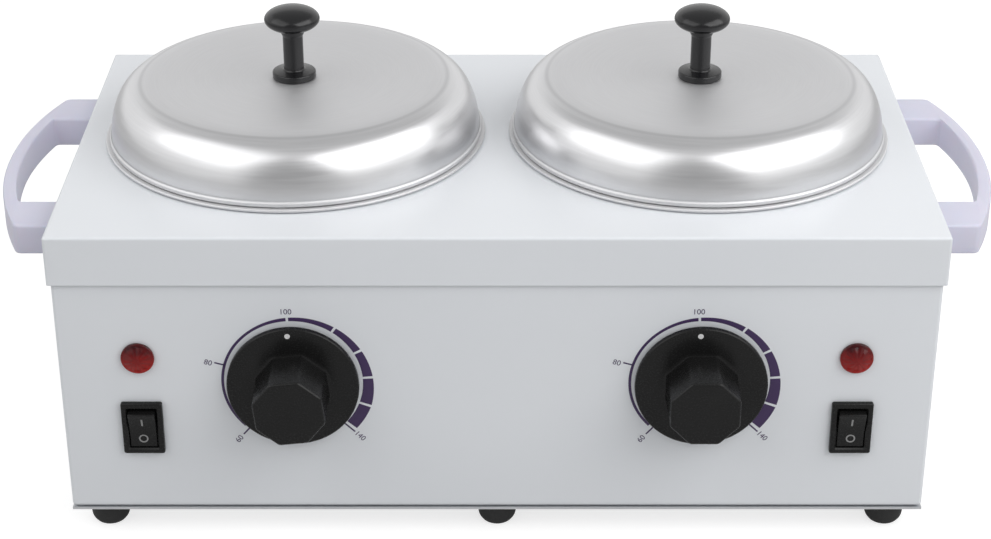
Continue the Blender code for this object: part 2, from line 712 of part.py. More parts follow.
def knob_profile():
    """Mushroom knob: a flattened head on a stem with a flange at its foot, and a blind bore."""
    bore = LID_SCREW_RADIUS + SCREW_CLEARANCE
    middle = LID_KNOB_HEIGHT - LID_KNOB_HALF_THICKNESS
    points = []
    for step in range(8):
        angle = math.radians(90 - 20 * step)
        radius = LID_KNOB_RADIUS * math.cos(angle)
        height = middle + LID_KNOB_HALF_THICKNESS * math.sin(angle)
        points.append((radius if step else 0, height))
    collar = LID_KNOB_STEM_RADIUS / 2
    return points + [
        (LID_KNOB_STEM_RADIUS, middle - LID_KNOB_HALF_THICKNESS - collar),
        (LID_KNOB_STEM_RADIUS, LID_KNOB_FLANGE + LID_KNOB_FLANGE_RISE),
        (LID_KNOB_FLANGE_RADIUS, LID_KNOB_FLANGE),
        (LID_KNOB_FLANGE_RADIUS, 0),
        (bore, 0),
        (bore, LID_SCREW_GRIP + FIT_GAP),
        (0, LID_SCREW_GRIP + FIT_GAP),
    ]


def make_pots_and_lids():
    """Lift-out pots, and the lids with their knobs, each on its well's upright axis."""
    pot = cup_profile(POT_RIM_RADIUS, POT_RADIUS, 0, -POT_DEPTH, POT_CORNER_RADIUS)
    knob = knob_profile()
    lid = lid_profile()
    head_top = -LID_WALL - FIT_GAP
    screw = screw_profile(
        LID_SCREW_RADIUS,
        LID_SCREW_HEAD_RADIUS,
        FIT_GAP + LID_SCREW_GRIP,
        head_top,
        head_top - LID_SCREW_HEAD,
    )
    for name, side in SIDES:
        x = side * POT_X
        pot_axis = add_axis(f"pot_axis_{name}", (x, POT_Y, POT_RIM_Z))
        cup = turned(f"wax_pot_{name}", pot, SPUN_ALUMINIUM, POT_SIDES)
        solidify(cup, POT_WALL)
        parent([cup], pot_axis)
        lid_axis = add_axis(f"lid_axis_{name}", (x, POT_Y, LID_LIP_Z))
        top = LID_TOP_Z - LID_LIP_Z
        cover = turned(f"lid_{name}", lid, SATIN_ALUMINIUM, POT_SIDES)
        solidify(cover, LID_WALL)
        handle = turned(f"lid_knob_{name}", knob, BLACK_PLASTIC, KNOB_SIDES, location=(0, 0, top + FIT_GAP))
        fixing = turned(f"lid_knob_screw_{name}", screw, ZINC, SCREW_SIDES, location=(0, 0, top))
        parent([cover, handle, fixing], lid_axis)


def grip_mesh():
    """Eight-sided grip of the dial, a little narrower at its face, along +Z."""
    low = DIAL_STANDOFF + DIAL_SKIRT / 2
    height = DIAL_REACH - low
    corner_share = 1 / math.cos(math.pi / GRIP_FACES)
    bm = bmesh.new()
    turn = Matrix.Rotation(math.pi / GRIP_FACES, 4, "Z")
    bmesh.ops.create_cone(
        bm,
        cap_ends=True,
        segments=GRIP_FACES,
        radius1=GRIP_BASE_APOTHEM * corner_share,
        radius2=GRIP_APOTHEM * corner_share,
        depth=height,
        matrix=Matrix.Translation((0, 0, low + height / 2)) @ turn,
    )
    return finish_mesh("grip", bm)


def make_dials():
    """Dials on the thermostats' shafts, about axes square to the front panel."""
    low = DIAL_STANDOFF
    high = DIAL_STANDOFF + DIAL_SKIRT
    skirt = [
        (0, high),
        (DIAL_RADIUS - DIAL_SKIRT_BEVEL, high),
        (DIAL_RADIUS, high - DIAL_SKIRT_BEVEL),
        (DIAL_RADIUS, low),
        (0, low),
    ]
    bore_radius = SHAFT_RADIUS + FIT_GAP
    shaft_end = DIAL_STANDOFF + SHAFT_GRIP
    bore_length = SHAFT_GRIP + FIT_GAP + CUT_OVERRUN
    bore_centre = (0, 0, shaft_end + FIT_GAP - bore_length / 2)
    shaft_base = -PANEL_BACK - SHAFT_SEAT
    shaft = [(0, shaft_end), (SHAFT_RADIUS, shaft_end), (SHAFT_RADIUS, shaft_base), (0, shaft_base)]
    for name, side in SIDES:
        turn = LEFT_DIAL_TURN if name == "left" else 0
        place = (side * DIAL_X, FRONT_Y, DIAL_Z)
        axis = add_axis(f"dial_axis_{name}", place, (math.radians(90), turn, 0))
        knob = turned(f"dial_knob_{name}", skirt, BLACK_PLASTIC, DIAL_SIDES)
        grip = add_tool(f"grip_{name}", grip_mesh())
        bevel(grip, GRIP_EDGE_RADIUS, 1)
        bore_cylinder = [(bore_radius, bore_length, bore_centre)]
        bore = add_tool(f"dial_bore_{name}", cylinder_mesh("dial_bore", bore_cylinder, "Z", SMALL_SIDES))
        boolean(knob, grip, "UNION")
        boolean(knob, bore, "DIFFERENCE")
        spindle = turned(f"thermostat_shaft_{name}", shaft, ZINC, SMALL_SIDES)
        parent([knob, grip, bore, spindle], axis)


def make_thermostats():
    """Thermostat boxes behind the panel, their screws, and the bulbs under the wells."""
    face_y = FRONT_Y + PANEL_BACK
    high_z = DIAL_Z + THERMOSTAT_RISE
    size = (THERMOSTAT_WIDTH, THERMOSTAT_DEPTH, high_z - THERMOSTAT_LOW_Z)
    bulb_back = POT_Y + BULB_LENGTH / 2
    capillary_end = face_y + THERMOSTAT_DEPTH + FIT_GAP - bulb_back
    bulb = [
        (0, 0),
        (BULB_RADIUS, -BULB_RADIUS),
        (BULB_RADIUS, BULB_RADIUS - BULB_LENGTH),
        (CAPILLARY_RADIUS, -BULB_LENGTH),
        (CAPILLARY_RADIUS, capillary_end),
        (0, capillary_end),
    ]
    screw = screw_profile(
        THERMOSTAT_SCREW_RADIUS,
        THERMOSTAT_SCREW_HEAD_RADIUS,
        THERMOSTAT_SCREW_LENGTH,
        -FIT_GAP,
        -FIT_GAP - THERMOSTAT_SCREW_HEAD,
    )
    inward = (-math.radians(90), 0, 0)
    for name, side in SIDES:
        x = side * DIAL_X
        centre = (x, face_y + THERMOSTAT_DEPTH / 2, (THERMOSTAT_LOW_Z + high_z) / 2)
        box_name = f"thermostat_body_{name}"
        box = add_piece(box_name, box_mesh(box_name, [(size, centre)]), CERAMIC)
        bevel(box, THERMOSTAT_EDGE_RADIUS, 1)
        seat = SHAFT_SEAT + FIT_GAP + CUT_OVERRUN
        bores = [(SHAFT_RADIUS + FIT_GAP, seat, (x, face_y - CUT_OVERRUN + seat / 2, DIAL_Z))]
        depth = THERMOSTAT_SCREW_LENGTH + CUT_OVERRUN
        for end in (-1, 1):
            screw_x = x + end * THERMOSTAT_SCREW_SPACING / 2
            place = (screw_x, face_y - CUT_OVERRUN + depth / 2, DIAL_Z)
            bores.append((THERMOSTAT_SCREW_RADIUS + SCREW_CLEARANCE, depth, place))
            row = "outer" if end == side else "inner"
            screw_name = f"thermostat_screw_{name}_{row}"
            screw_place = (screw_x, FRONT_Y, DIAL_Z)
            turned(screw_name, screw, ZINC, SCREW_SIDES, location=screw_place, turn=inward)
        tool = f"thermostat_bores_{name}"
        boolean(box, add_tool(tool, cylinder_mesh(tool, bores, "Y", SMALL_SIDES)), "DIFFERENCE")
        turned(
            f"thermostat_bulb_{name}",
            bulb,
            COPPER,
            SCREW_SIDES,
            location=(x, bulb_back, BULB_Z),
            turn=inward,
        )


def rocker_outline():
    """Side view of the rocker about its pivot: outwards along +X, up along +Y."""
    return [
        (ROCKER_END_RISE, ROCKER_HALF_LENGTH),
        (-ROCKER_BACK, ROCKER_HALF_LENGTH),
        (-ROCKER_BACK, -ROCKER_HALF_LENGTH),
        (ROCKER_END_RISE, -ROCKER_HALF_LENGTH),
        (ROCKER_MIDDLE_RISE, 0),
    ]


def make_switches():
    """Rocker switches: a framed housing through the panel, and its rocker, off."""
    outline_to_side = Matrix(((0, 0, -1, 0), (-1, 0, 0, 0), (0, 1, 0, 0), (0, 0, 0, 1)))
    bezel_y = FRONT_Y - FIT_GAP - BEZEL_THICKNESS / 2
    body_depth = SWITCH_BACK_Y - bezel_y
    blade_length = BLADE_LENGTH + CUT_OVERRUN
    blade_size = (BLADE_WIDTH, blade_length, BLADE_THICKNESS)
    blade_y = SWITCH_BACK_Y + BLADE_LENGTH - blade_length / 2
    cavity_depth = SWITCH_CAVITY_DEPTH + BEZEL_THICKNESS + CUT_OVERRUN
    cavity_size = (SWITCH_CAVITY_WIDTH, cavity_depth, SWITCH_CAVITY_HEIGHT)
    cavity_y = FRONT_Y + SWITCH_CAVITY_DEPTH - cavity_depth / 2
    for name, side in SIDES:
        x = side * CONTROL_X
        bezel = ((BEZEL_WIDTH, BEZEL_THICKNESS, BEZEL_HEIGHT), (x, bezel_y, SWITCH_Z))
        housing_name = f"switch_housing_{name}"
        housing = add_piece(housing_name, box_mesh(housing_name, [bezel]), BLACK_PLASTIC)
        bevel(housing, BEZEL_EDGE_RADIUS, 1)
        body_size = (SWITCH_BODY_WIDTH, body_depth, SWITCH_BODY_HEIGHT)
        body = [(body_size, (x, bezel_y + body_depth / 2, SWITCH_Z))]
        blades = [(blade_size, (x, blade_y, SWITCH_Z + end * BLADE_SPACING / 2)) for end in (-1, 1)]
        cavity = [(cavity_size, (x, cavity_y, SWITCH_Z))]
        for kind, boxes, operation in (
            ("switch_body", body, "UNION"),
            ("switch_blades", blades, "UNION"),
            ("switch_cavity", cavity, "DIFFERENCE"),
        ):
            tool = f"{kind}_{name}"
            boolean(housing, add_tool(tool, box_mesh(tool, boxes)), operation)
        mesh = outline_mesh(f"switch_rocker_{name}", rocker_outline(), ROCKER_WIDTH)
        mesh.transform(outline_to_side)
        place = (x, FRONT_Y, SWITCH_Z)
        add_piece(f"switch_rocker_{name}", mesh, BLACK_PLASTIC, place, (ROCKER_TILT, 0, 0))


def make_lamps():
    """Neon indicator lamps: a red lens in front of the panel and a holder behind it."""
    head_low = FIT_GAP
    head_edge = head_low + LENS_RIM
    head_top = head_low + LENS_RISE
    lens = [
        (0, head_top),
        (LENS_RADIUS / 2, head_top - (head_top - head_edge) / 4),
        (LENS_RADIUS, head_edge),
        (LENS_RADIUS, head_low),
        (LENS_NECK_RADIUS, head_low),
        (LENS_NECK_RADIUS, -LENS_NECK_DEPTH),
        (0, -LENS_NECK_DEPTH),
    ]
    bore_radius = LENS_NECK_RADIUS + FIT_GAP
    holder = [
        (0, -LENS_NECK_DEPTH - FIT_GAP),
        (bore_radius, -LENS_NECK_DEPTH - FIT_GAP),
        (bore_radius, -PANEL_BACK),
        (LAMP_BODY_RADIUS, -PANEL_BACK),
        (LAMP_BODY_RADIUS, -LAMP_BODY_DEPTH),
        (0, -LAMP_BODY_DEPTH),
    ]
    for name, side in SIDES:
        place = {
            "location": (side * CONTROL_X, FRONT_Y, LAMP_Z),
            "turn": (math.radians(90), 0, 0),
        }
        turned(f"lamp_lens_{name}", lens, RED_LENS, SMALL_SIDES, **place)
        turned(f"lamp_body_{name}", holder, NATURAL_NYLON, SMALL_SIDES, **place)


def make_gland():
    """Cord gland in the rear wall, with the nut that holds it."""
    mouth_radius = GLAND_BORE_RADIUS + GLAND_SHOULDER_WIDTH
    gland = [
        (mouth_radius, GLAND_REACH),
        (GLAND_SHOULDER_RADIUS, (GLAND_REACH + GLAND_COLLAR) / 2),
        (GLAND_SHOULDER_RADIUS, GLAND_COLLAR),
        (GLAND_COLLAR_RADIUS, GLAND_COLLAR),
        (GLAND_COLLAR_RADIUS, FIT_GAP),
        (GLAND_NECK_RADIUS, FIT_GAP),
        (GLAND_NECK_RADIUS, -GLAND_NECK_DEPTH),
        (GLAND_BORE_RADIUS, -GLAND_NECK_DEPTH),
        (GLAND_BORE_RADIUS, GLAND_REACH),
    ]
    place = {"location": (0, REAR_Y, GLAND_Z), "turn": (-math.radians(90), 0, 0)}
    turned("cord_gland", gland, BLACK_PLASTIC, KNOB_SIDES, closed=True, **place)
    centre = (0, REAR_Y - PANEL_BACK - NUT_THICKNESS / 2, GLAND_Z)
    bore_radius = GLAND_NECK_RADIUS + FIT_GAP
    corner_radius = (bore_radius + NUT_WIDTH) / math.cos(math.pi / 6)
    nut = add_piece(
        "gland_nut",
        cylinder_mesh("gland_nut", [(corner_radius, NUT_THICKNESS, centre)], "Y", 6),
        BLACK_PLASTIC,
    )
    bore = [(bore_radius, NUT_THICKNESS + 2 * CUT_OVERRUN, centre)]
    boolean(nut, add_tool("nut_bore", cylinder_mesh("nut_bore", bore, "Y", KNOB_SIDES)), "DIFFERENCE")


def make_terminal_block():
    """Terminal block on the bottom plate, where the supply meets the two circuits."""
    base = ((BLOCK_WIDTH, BLOCK_DEPTH, BLOCK_BASE), (0, BLOCK_Y, BLOCK_Z + BLOCK_BASE / 2))
    block = add_piece("terminal_block", box_mesh("terminal_block", [base]), NATURAL_NYLON)
    top_z = BLOCK_Z + BLOCK_BASE + BLOCK_RIDGE
    turret_height = BLOCK_RIDGE + BLOCK_BASE / 2
    pitch = BLOCK_WIDTH / BLOCK_WAYS
    turret_size = (pitch * BLOCK_TURRET_SHARE, BLOCK_RIDGE_DEPTH, turret_height)
    turrets = []
    screws = []
    for way in range(BLOCK_WAYS):
        x = (way - (BLOCK_WAYS - 1) / 2) * pitch
        turrets.append((turret_size, (x, BLOCK_Y, top_z - turret_height / 2)))
        screws.append((BLOCK_SCREW_RADIUS, 2 * BLOCK_SCREW_DEPTH, (x, BLOCK_Y, top_z)))
    boolean(block, add_tool("block_turrets", box_mesh("block_turrets", turrets)), "UNION")
    holes = add_tool("block_holes", cylinder_mesh("block_holes", screws, "Z", SCREW_SIDES))
    boolean(block, holes, "DIFFERENCE")


def bent_route(corners, bend, steps):
    """Points along straight runs whose corners are rounded by a quadratic curve."""
    corners = [Vector(corner) for corner in corners]
    points = [corners[0]]
    for before, corner, after in zip(corners, corners[1:], corners[2:]):
        start = corner + (before - corner).normalized() * bend
        end = corner + (after - corner).normalized() * bend
        for step in range(steps + 1):
            share = step / steps
            inward = start.lerp(corner, share)
            outward = corner.lerp(end, share)
            points.append(inward.lerp(outward, share))
    return points + [corners[-1]]


def lead(name, corners, finish):
    """An insulated lead: a round tube along a bent route."""
    points = bent_route(corners, LEAD_BEND, 3)
    curve = bpy.data.curves.new(name, "CURVE")
    curve.dimensions = "3D"
    curve.bevel_depth = LEAD_RADIUS
    curve.bevel_resolution = 1
    curve.use_fill_caps = True
    spline = curve.splines.new("POLY")
    spline.points.add(len(points) - 1)
    for place, point in zip(spline.points, points):
        place.co = (*point, 1)
    add_piece(name, curve, finish)


def make_leads():
    """Leads from the terminal block to each switch, and from there to its thermostat."""
    blade_end_y = SWITCH_BACK_Y + BLADE_LENGTH + FIT_GAP
    floor_z = BLOCK_Z + BLOCK_BASE / 2
    thermostat_y = FRONT_Y + PANEL_BACK + THERMOSTAT_DEPTH / 2
    terminal_z = THERMOSTAT_LOW_Z + THERMOSTAT_TERMINAL_RISE
    for name, side in SIDES:
        x = side * CONTROL_X
        block_x = side * (BLOCK_WIDTH / 2 + FIT_GAP)
        thermostat_x = side * (DIAL_X + THERMOSTAT_WIDTH / 2 + FIT_GAP)
        middle_x = (x + thermostat_x) / 2
        low_z = SWITCH_Z - BLADE_SPACING / 2
        high_z = SWITCH_Z + BLADE_SPACING / 2
        down_y = blade_end_y + 2 * LEAD_BEND
        back_y = blade_end_y + LEAD_BEND + LEAD_RADIUS
        supply = (
            (block_x, BLOCK_Y, floor_z),
            (x, BLOCK_Y, floor_z),
            (x, down_y, floor_z),
            (x, down_y, low_z),
            (x, blade_end_y, low_z),
        )
        control = (
            (x, blade_end_y, high_z),
            (x, back_y, high_z),
            (middle_x, back_y, terminal_z),
            (middle_x, thermostat_y, terminal_z),
            (thermostat_x, thermostat_y, terminal_z),
        )
        lead(f"supply_lead_{name}", supply, BLACK_SLEEVE)
        lead(f"thermostat_lead_{name}", control, WHITE_SLEEVE)


clear_scene()
PARTS = make_collection("double_wax_warmer")
CUTTERS = make_collection("cutters")
make_cover()
make_body()
make_bottom_plate()
make_feet()
make_handles()
make_wells()
make_pots_and_lids()
make_dials()
make_thermostats()
make_switches()
make_lamps()
make_gland()
make_terminal_block()
make_leads()
bpy.context.view_layer.update()
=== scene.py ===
# %% [markdown]
# # A double wax warmer, dressed
# The object is a salon warmer for depilatory wax: a folded steel box with two heated wells.
# Each well holds a lift-out pot under a spun aluminium lid, and has a dial, a switch and a lamp.
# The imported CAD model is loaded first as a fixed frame. It says where everything is, so each
# piece made here takes its place and its size from the node that it replaces.
# The frame has few facets, so that it stays light. This script makes the fine surfaces.

# %% Load the frame
import math

import bpy
import numpy as np
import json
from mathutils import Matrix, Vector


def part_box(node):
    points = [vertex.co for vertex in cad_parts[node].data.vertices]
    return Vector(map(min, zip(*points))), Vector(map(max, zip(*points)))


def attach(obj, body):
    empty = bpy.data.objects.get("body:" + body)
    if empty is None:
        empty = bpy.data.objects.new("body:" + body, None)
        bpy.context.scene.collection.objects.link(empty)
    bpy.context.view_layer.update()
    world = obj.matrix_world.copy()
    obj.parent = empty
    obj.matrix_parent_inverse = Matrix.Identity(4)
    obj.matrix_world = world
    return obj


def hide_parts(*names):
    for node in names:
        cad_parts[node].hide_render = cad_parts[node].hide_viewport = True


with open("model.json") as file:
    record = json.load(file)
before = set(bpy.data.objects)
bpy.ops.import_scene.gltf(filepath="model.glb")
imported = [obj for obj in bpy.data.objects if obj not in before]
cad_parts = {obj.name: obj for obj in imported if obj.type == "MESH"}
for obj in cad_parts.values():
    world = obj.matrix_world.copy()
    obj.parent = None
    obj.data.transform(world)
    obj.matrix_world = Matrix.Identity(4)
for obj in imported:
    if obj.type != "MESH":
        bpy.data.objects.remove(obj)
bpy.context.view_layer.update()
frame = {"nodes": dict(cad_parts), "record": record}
SIDES = (("left", -1), ("right", 1))
SIDE_NAMES = ("left", "right")

# %% [markdown]
# ## Reading sizes from the frame
# A box gives a node's lowest and highest corners. Its middle and its extent are all that most
# pieces need, so two small functions read them. What a box cannot tell, such as the thickness
# of a sheet or the radius of an edge, has a name and a value here, in metres.

# %% Boxes and shared sizes
MM = 0.001
SHEET = 0.9 * MM
FOLD_RADIUS = 1.5 * MM
EDGE = 0.15 * MM


def middle(node):
    """The middle of a node's box."""
    low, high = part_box(node)
    return np.array((low + high) / 2)


def extent(node):
    """The lengths of a node's box along X, Y and Z."""
    low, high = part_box(node)
    return np.array(high - low)


COVER_LOW, COVER_HIGH = (np.array(corner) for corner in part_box("top_cover"))
BODY_LOW, BODY_HIGH = (np.array(corner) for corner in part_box("body_shell"))
FRONT_Y = BODY_LOW[1]
REAR_Y = BODY_HIGH[1]
print("cover in mm:", np.round(1000 * extent("top_cover"), 1), "front panel at y", round(FRONT_Y, 4))

# %% [markdown]
# ## The camera
# The photograph looks down at the front from about 27 degrees, through a long lens, so that
# upright edges stay nearly parallel. The lens follows from the focal length in pixels: a sensor
# of 36 mm is as wide as the picture's 991 pixels.

# %% Place the camera
PHOTO_WIDTH = 991
FOCAL_PIXELS = 2240
SENSOR = 36
ELEVATION = math.radians(27.39)
EYE = (0.0, -0.7766, 0.4723)
FRAMING_SHIFT = -0.0016

camera_data = bpy.data.cameras.new("camera")
camera_data.sensor_width = SENSOR
camera_data.lens = FOCAL_PIXELS * SENSOR / PHOTO_WIDTH
camera_data.shift_x = FRAMING_SHIFT
camera = bpy.data.objects.new("camera", camera_data)
camera.location = EYE
camera.rotation_euler = (math.pi / 2 - ELEVATION, 0, 0)
bpy.context.scene.collection.objects.link(camera)
bpy.context.scene.camera = camera
print("lens in mm:", round(camera_data.lens, 2))

# %% [markdown]
# ## From arrays to meshes
# Almost every piece here is a grid of points: a row for each step along a profile and a column
# for each step round or along the piece. numpy works out all the points of a grid at once, which
# is quick and keeps the shape readable as a formula. Faces join each point to its neighbours.
# Where a row shrinks to one point, as on the axis of a turned piece, its points are merged, so
# that the skin has no hole and no seam.

# %% Grids, skins and pieces
MERGE_DIGITS = 6


def patch(grid, round_rows=False, round_columns=False):
    """Points and four-sided faces of a grid: a face joins a point to the next in its row and
    its column, and a round direction also joins the end to the start."""
    number = np.arange(grid.shape[0] * grid.shape[1]).reshape(grid.shape[:2])
    if round_rows:
        number = np.concatenate([number, number[:1]])
    if round_columns:
        number = np.concatenate([number, number[:, :1]], axis=1)
    corners = (number[:-1, :-1], number[:-1, 1:], number[1:, 1:], number[1:, :-1])
    return grid.reshape(-1, 3), np.stack(corners, axis=-1).reshape(-1, 4)


def skin(*patches, closed=True):
    """One skin from several patches: points within a thousandth of a millimetre become one, a
    face that loses a corner becomes a triangle, and a closed skin is turned to face outwards.
    Six times a closed skin's volume is the sum of each triangle's triple product."""
    starts = np.cumsum([0] + [len(points) for points, _ in patches[:-1]])
    points = np.concatenate([points for points, _ in patches])
    quads = np.concatenate([quads + start for (_, quads), start in zip(patches, starts)])
    tidy = np.round(np.round(points, MERGE_DIGITS + 3), MERGE_DIGITS)
    _, first, place = np.unique(tidy, axis=0, return_index=True, return_inverse=True)
    points, quads = points[first], place.reshape(-1)[quads]
    apart = quads != np.roll(quads, 1, axis=1)
    full = quads[apart.all(axis=1)]
    bent = apart.sum(axis=1) == 3
    triangles = quads[bent][apart[bent]].reshape(-1, 3)
    halves = np.concatenate([full[:, [0, 1, 2]], full[:, [0, 2, 3]], triangles])
    a, b, c = (points[halves[:, corner]] for corner in range(3))
    if closed and np.sum(a * np.cross(b, c)) < 0:
        full, triangles = full[:, ::-1], triangles[:, ::-1]
    return points, full, triangles


def joined(*made):
    """Several skins as one."""
    starts = np.cumsum([0] + [len(points) for points, _, _ in made[:-1]])
    return (
        np.concatenate([points for points, _, _ in made]),
        np.concatenate([full + start for (_, full, _), start in zip(made, starts)]),
        np.concatenate([three + start for (_, _, three), start in zip(made, starts)]),
    )


def add_mesh(name, made, sharp=30):
    """An object whose mesh is a skin, smooth but for edges that turn by more than sharp degrees."""
    points, full, triangles = made
    mesh = bpy.data.meshes.new(name)
    mesh.from_pydata(points.tolist(), [], full.tolist() + triangles.tolist())
    mesh.shade_smooth()
    mesh.set_sharp_from_angle(angle=math.radians(sharp))
    piece = bpy.data.objects.new(name, mesh)
    bpy.context.scene.collection.objects.link(piece)
    return piece


def settle(piece, sharp=30):
    """The piece with its modifiers carried out in its mesh."""
    graph = bpy.context.evaluated_depsgraph_get()
    mesh = bpy.data.meshes.new_from_object(piece.evaluated_get(graph))
    piece.modifiers.clear()
    piece.data = mesh
    mesh.shade_smooth()
    mesh.set_sharp_from_angle(angle=math.radians(sharp))
    return piece


def cut(piece, *tools):
    """The piece less the closed skins given as tools."""
    cutters = [add_mesh("cutter", tool) for tool in tools]
    for cutter in cutters:
        modifier = piece.modifiers.new("Cut", "BOOLEAN")
        modifier.operation = "DIFFERENCE"
        modifier.solver = "EXACT"
        modifier.object = cutter
    settle(piece)
    for cutter in cutters:
        bpy.data.objects.remove(cutter, do_unlink=True)
    return piece


RAW_EDGE_ANGLE = 60


def wall(piece, thickness, edge=0.0):
    """Gives an open skin its thickness on the inner side, and its raw edges a small bevel."""
    solid = piece.modifiers.new("Wall", "SOLIDIFY")
    solid.thickness = thickness
    solid.offset = -1
    solid.use_even_offset = True
    if edge:
        soft = piece.modifiers.new("Edges", "BEVEL")
        soft.width = edge
        soft.segments = 2
        soft.limit_method = "ANGLE"
        soft.angle_limit = math.radians(RAW_EDGE_ANGLE)
    return settle(piece)


def dress(piece, finish, slot, body, *nodes):
    """Gives a finished piece its material and its body, and hides what it stands for. The slot is not
    used.
    """
    piece.data.materials.clear()
    piece.data.materials.append(finish)
    if nodes:
        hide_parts(*nodes)
    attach(piece, body)
    print(f"{piece.name}: {len(piece.data.polygons)} faces on {body}")


# %% [markdown]
# ## Profiles
# A moulded or folded edge is never a sharp corner. One function rounds the corners of a profile:
# it replaces each by the arc that touches both of its sides. Others turn a profile round an axis,
# carry it round a rounded rectangle, or stand it on the front, the back or an end of the object.

# %% Rounded profiles, turned skins and loops
LEAST_HALF_ANGLE = 0.01
LEAST_LENGTH = 1e-12


def rounded(corners, radii, steps=6, closed=False):
    """A profile with round corners. The arc's centre lies on the line that halves the corner, at
    the radius divided by the sine of half the corner's angle, and the arc starts where the side
    touches it, at the radius divided by the tangent of that half angle."""
    corners = np.asarray(corners, float)
    radii = np.broadcast_to(np.asarray(radii, float), len(corners)).copy()
    if not closed:
        radii[[0, -1]] = 0
    back = np.roll(corners, 1, axis=0) - corners
    ahead = np.roll(corners, -1, axis=0) - corners
    back /= np.linalg.norm(back, axis=1, keepdims=True)
    ahead /= np.linalg.norm(ahead, axis=1, keepdims=True)
    half = np.arccos(np.clip(np.sum(back * ahead, axis=1), -1, 1)) / 2
    half = np.maximum(half, LEAST_HALF_ANGLE)
    halving = back + ahead
    halving /= np.maximum(np.linalg.norm(halving, axis=1, keepdims=True), LEAST_LENGTH)
    centre = corners + halving * (radii / np.sin(half))[:, None]
    start = corners + back * (radii / np.tan(half))[:, None] - centre
    way = np.sign(back[:, 0] * ahead[:, 1] - back[:, 1] * ahead[:, 0])
    angle = -way[:, None] * (math.pi - 2 * half)[:, None] * np.linspace(0, 1, steps + 1)
    turned_x = start[:, :1] * np.cos(angle) - start[:, 1:] * np.sin(angle)
    turned_y = start[:, :1] * np.sin(angle) + start[:, 1:] * np.cos(angle)
    arcs = centre[:, None] + np.stack([turned_x, turned_y], axis=-1)
    arcs[radii == 0] = corners[radii == 0][:, None]
    kept = np.ones(arcs.shape[:2], bool)
    kept[radii == 0, 1:] = False
    return arcs[kept]


FACING = {
    "up": np.eye(3),
    "front": np.array(((1, 0, 0), (0, 0, -1), (0, 1, 0))),
    "back": np.array(((1, 0, 0), (0, 0, 1), (0, -1, 0))),
    "right": np.array(((0, 0, 1), (0, 1, 0), (-1, 0, 0))),
    "left": np.array(((0, 0, -1), (0, 1, 0), (1, 0, 0))),
}


def place(grid, centre=(0, 0, 0), facing="up"):
    """A grid whose own Z axis points the way it faces, moved to its centre."""
    return grid @ FACING[facing].T + np.asarray(centre, float)


def ring(count):
    """Evenly spaced angles once round."""
    return np.linspace(0, 2 * math.pi, count, endpoint=False)


def polar(radius, angle, height):
    """A grid of rings: x is radius times cosine, y is radius times sine, and z is height."""
    return np.stack([radius * np.cos(angle), radius * np.sin(angle), height + 0 * angle], axis=-1)


def turned(profile, columns=96, closed=False, **where):
    """A profile of (radius, height) turned round an axis, with a ring for each of its points."""
    radius, height = np.asarray(profile, float).T[:, :, None]
    grid = polar(radius, ring(columns), height)
    return patch(place(grid, **where), round_rows=closed, round_columns=True)


def loops(half_x, half_y, radius, height, steps=6):
    """A grid with a rounded rectangle for each row: a corner's centre plus its radius times
    (cosine, sine). A radius of zero gives a sharp corner with the same number of points."""
    sizes = np.broadcast_arrays(*map(np.atleast_1d, (half_x, half_y, radius, height)))
    half_x, half_y, radius, height = (size[:, None] for size in sizes)
    angle = (np.arange(4)[:, None] * math.pi / 2 + np.linspace(0, math.pi / 2, steps + 1)).ravel()
    side_x = np.repeat([1, -1, -1, 1], steps + 1)
    side_y = np.repeat([1, 1, -1, -1], steps + 1)
    x = side_x * (half_x - radius) + radius * np.cos(angle)
    y = side_y * (half_y - radius) + radius * np.sin(angle)
    return np.stack([x, y, height + 0 * angle], axis=-1)


def drum(radius, low, high, columns=48, **where):
    """A closed cylinder, used as a cutter."""
    return skin(turned([(0, low), (radius, low), (radius, high), (0, high)], columns, **where))


# %% [markdown]
# ## Finishes
# A finish is more than a colour. Each material below has the small irregularity that its maker's
# process leaves: the orange peel of powder coat, the rings of spun metal, the grain of a mould.
# They are worked out from Object coordinates, in metres, so a scale of 1000 gives a pattern with
# a pitch of about a millimetre. Numbers that are the same everywhere sit on the shader itself.

# %% Node helpers
SHORT_WORDS = {"ior": "IOR"}


def start_material(name, **sockets):
    """A material with one Principled shader, whose sockets are set by their names in plain form."""
    material = bpy.data.materials.new(name)
    material.use_nodes = True
    shader = material.node_tree.nodes["Principled BSDF"]
    for socket, value in sockets.items():
        label = " ".join(SHORT_WORDS.get(word, word.title()) for word in socket.split("_"))
        shader.inputs[label].default_value = value
    if "base_color" in sockets:
        material.diffuse_color = sockets["base_color"]
    return material, material.node_tree, shader


def add_node(tree, kind, **values):
    """A node of that kind. A value that is named for an input sets the input, another the node."""
    node = tree.nodes.new(kind)
    for name, value in values.items():
        label = name.replace("_", " ").title()
        if label in node.inputs:
            node.inputs[label].default_value = value
        else:
            setattr(node, name, value)
    return node


def object_point(tree, centre=(0, 0, 0)):
    """Object coordinates, counted from a centre."""
    point = add_node(tree, "ShaderNodeTexCoord")
    shift = add_node(tree, "ShaderNodeMapping", location=tuple(-value for value in centre))
    tree.links.new(point.outputs["Object"], shift.inputs["Vector"])
    return shift.outputs["Vector"]


def noise(tree, point, scale, detail=2.0):
    """A cloudy pattern from 0 to 1."""
    cloud = add_node(tree, "ShaderNodeTexNoise", scale=scale, detail=detail)
    tree.links.new(point, cloud.inputs["Vector"])
    return cloud.outputs["Fac"]


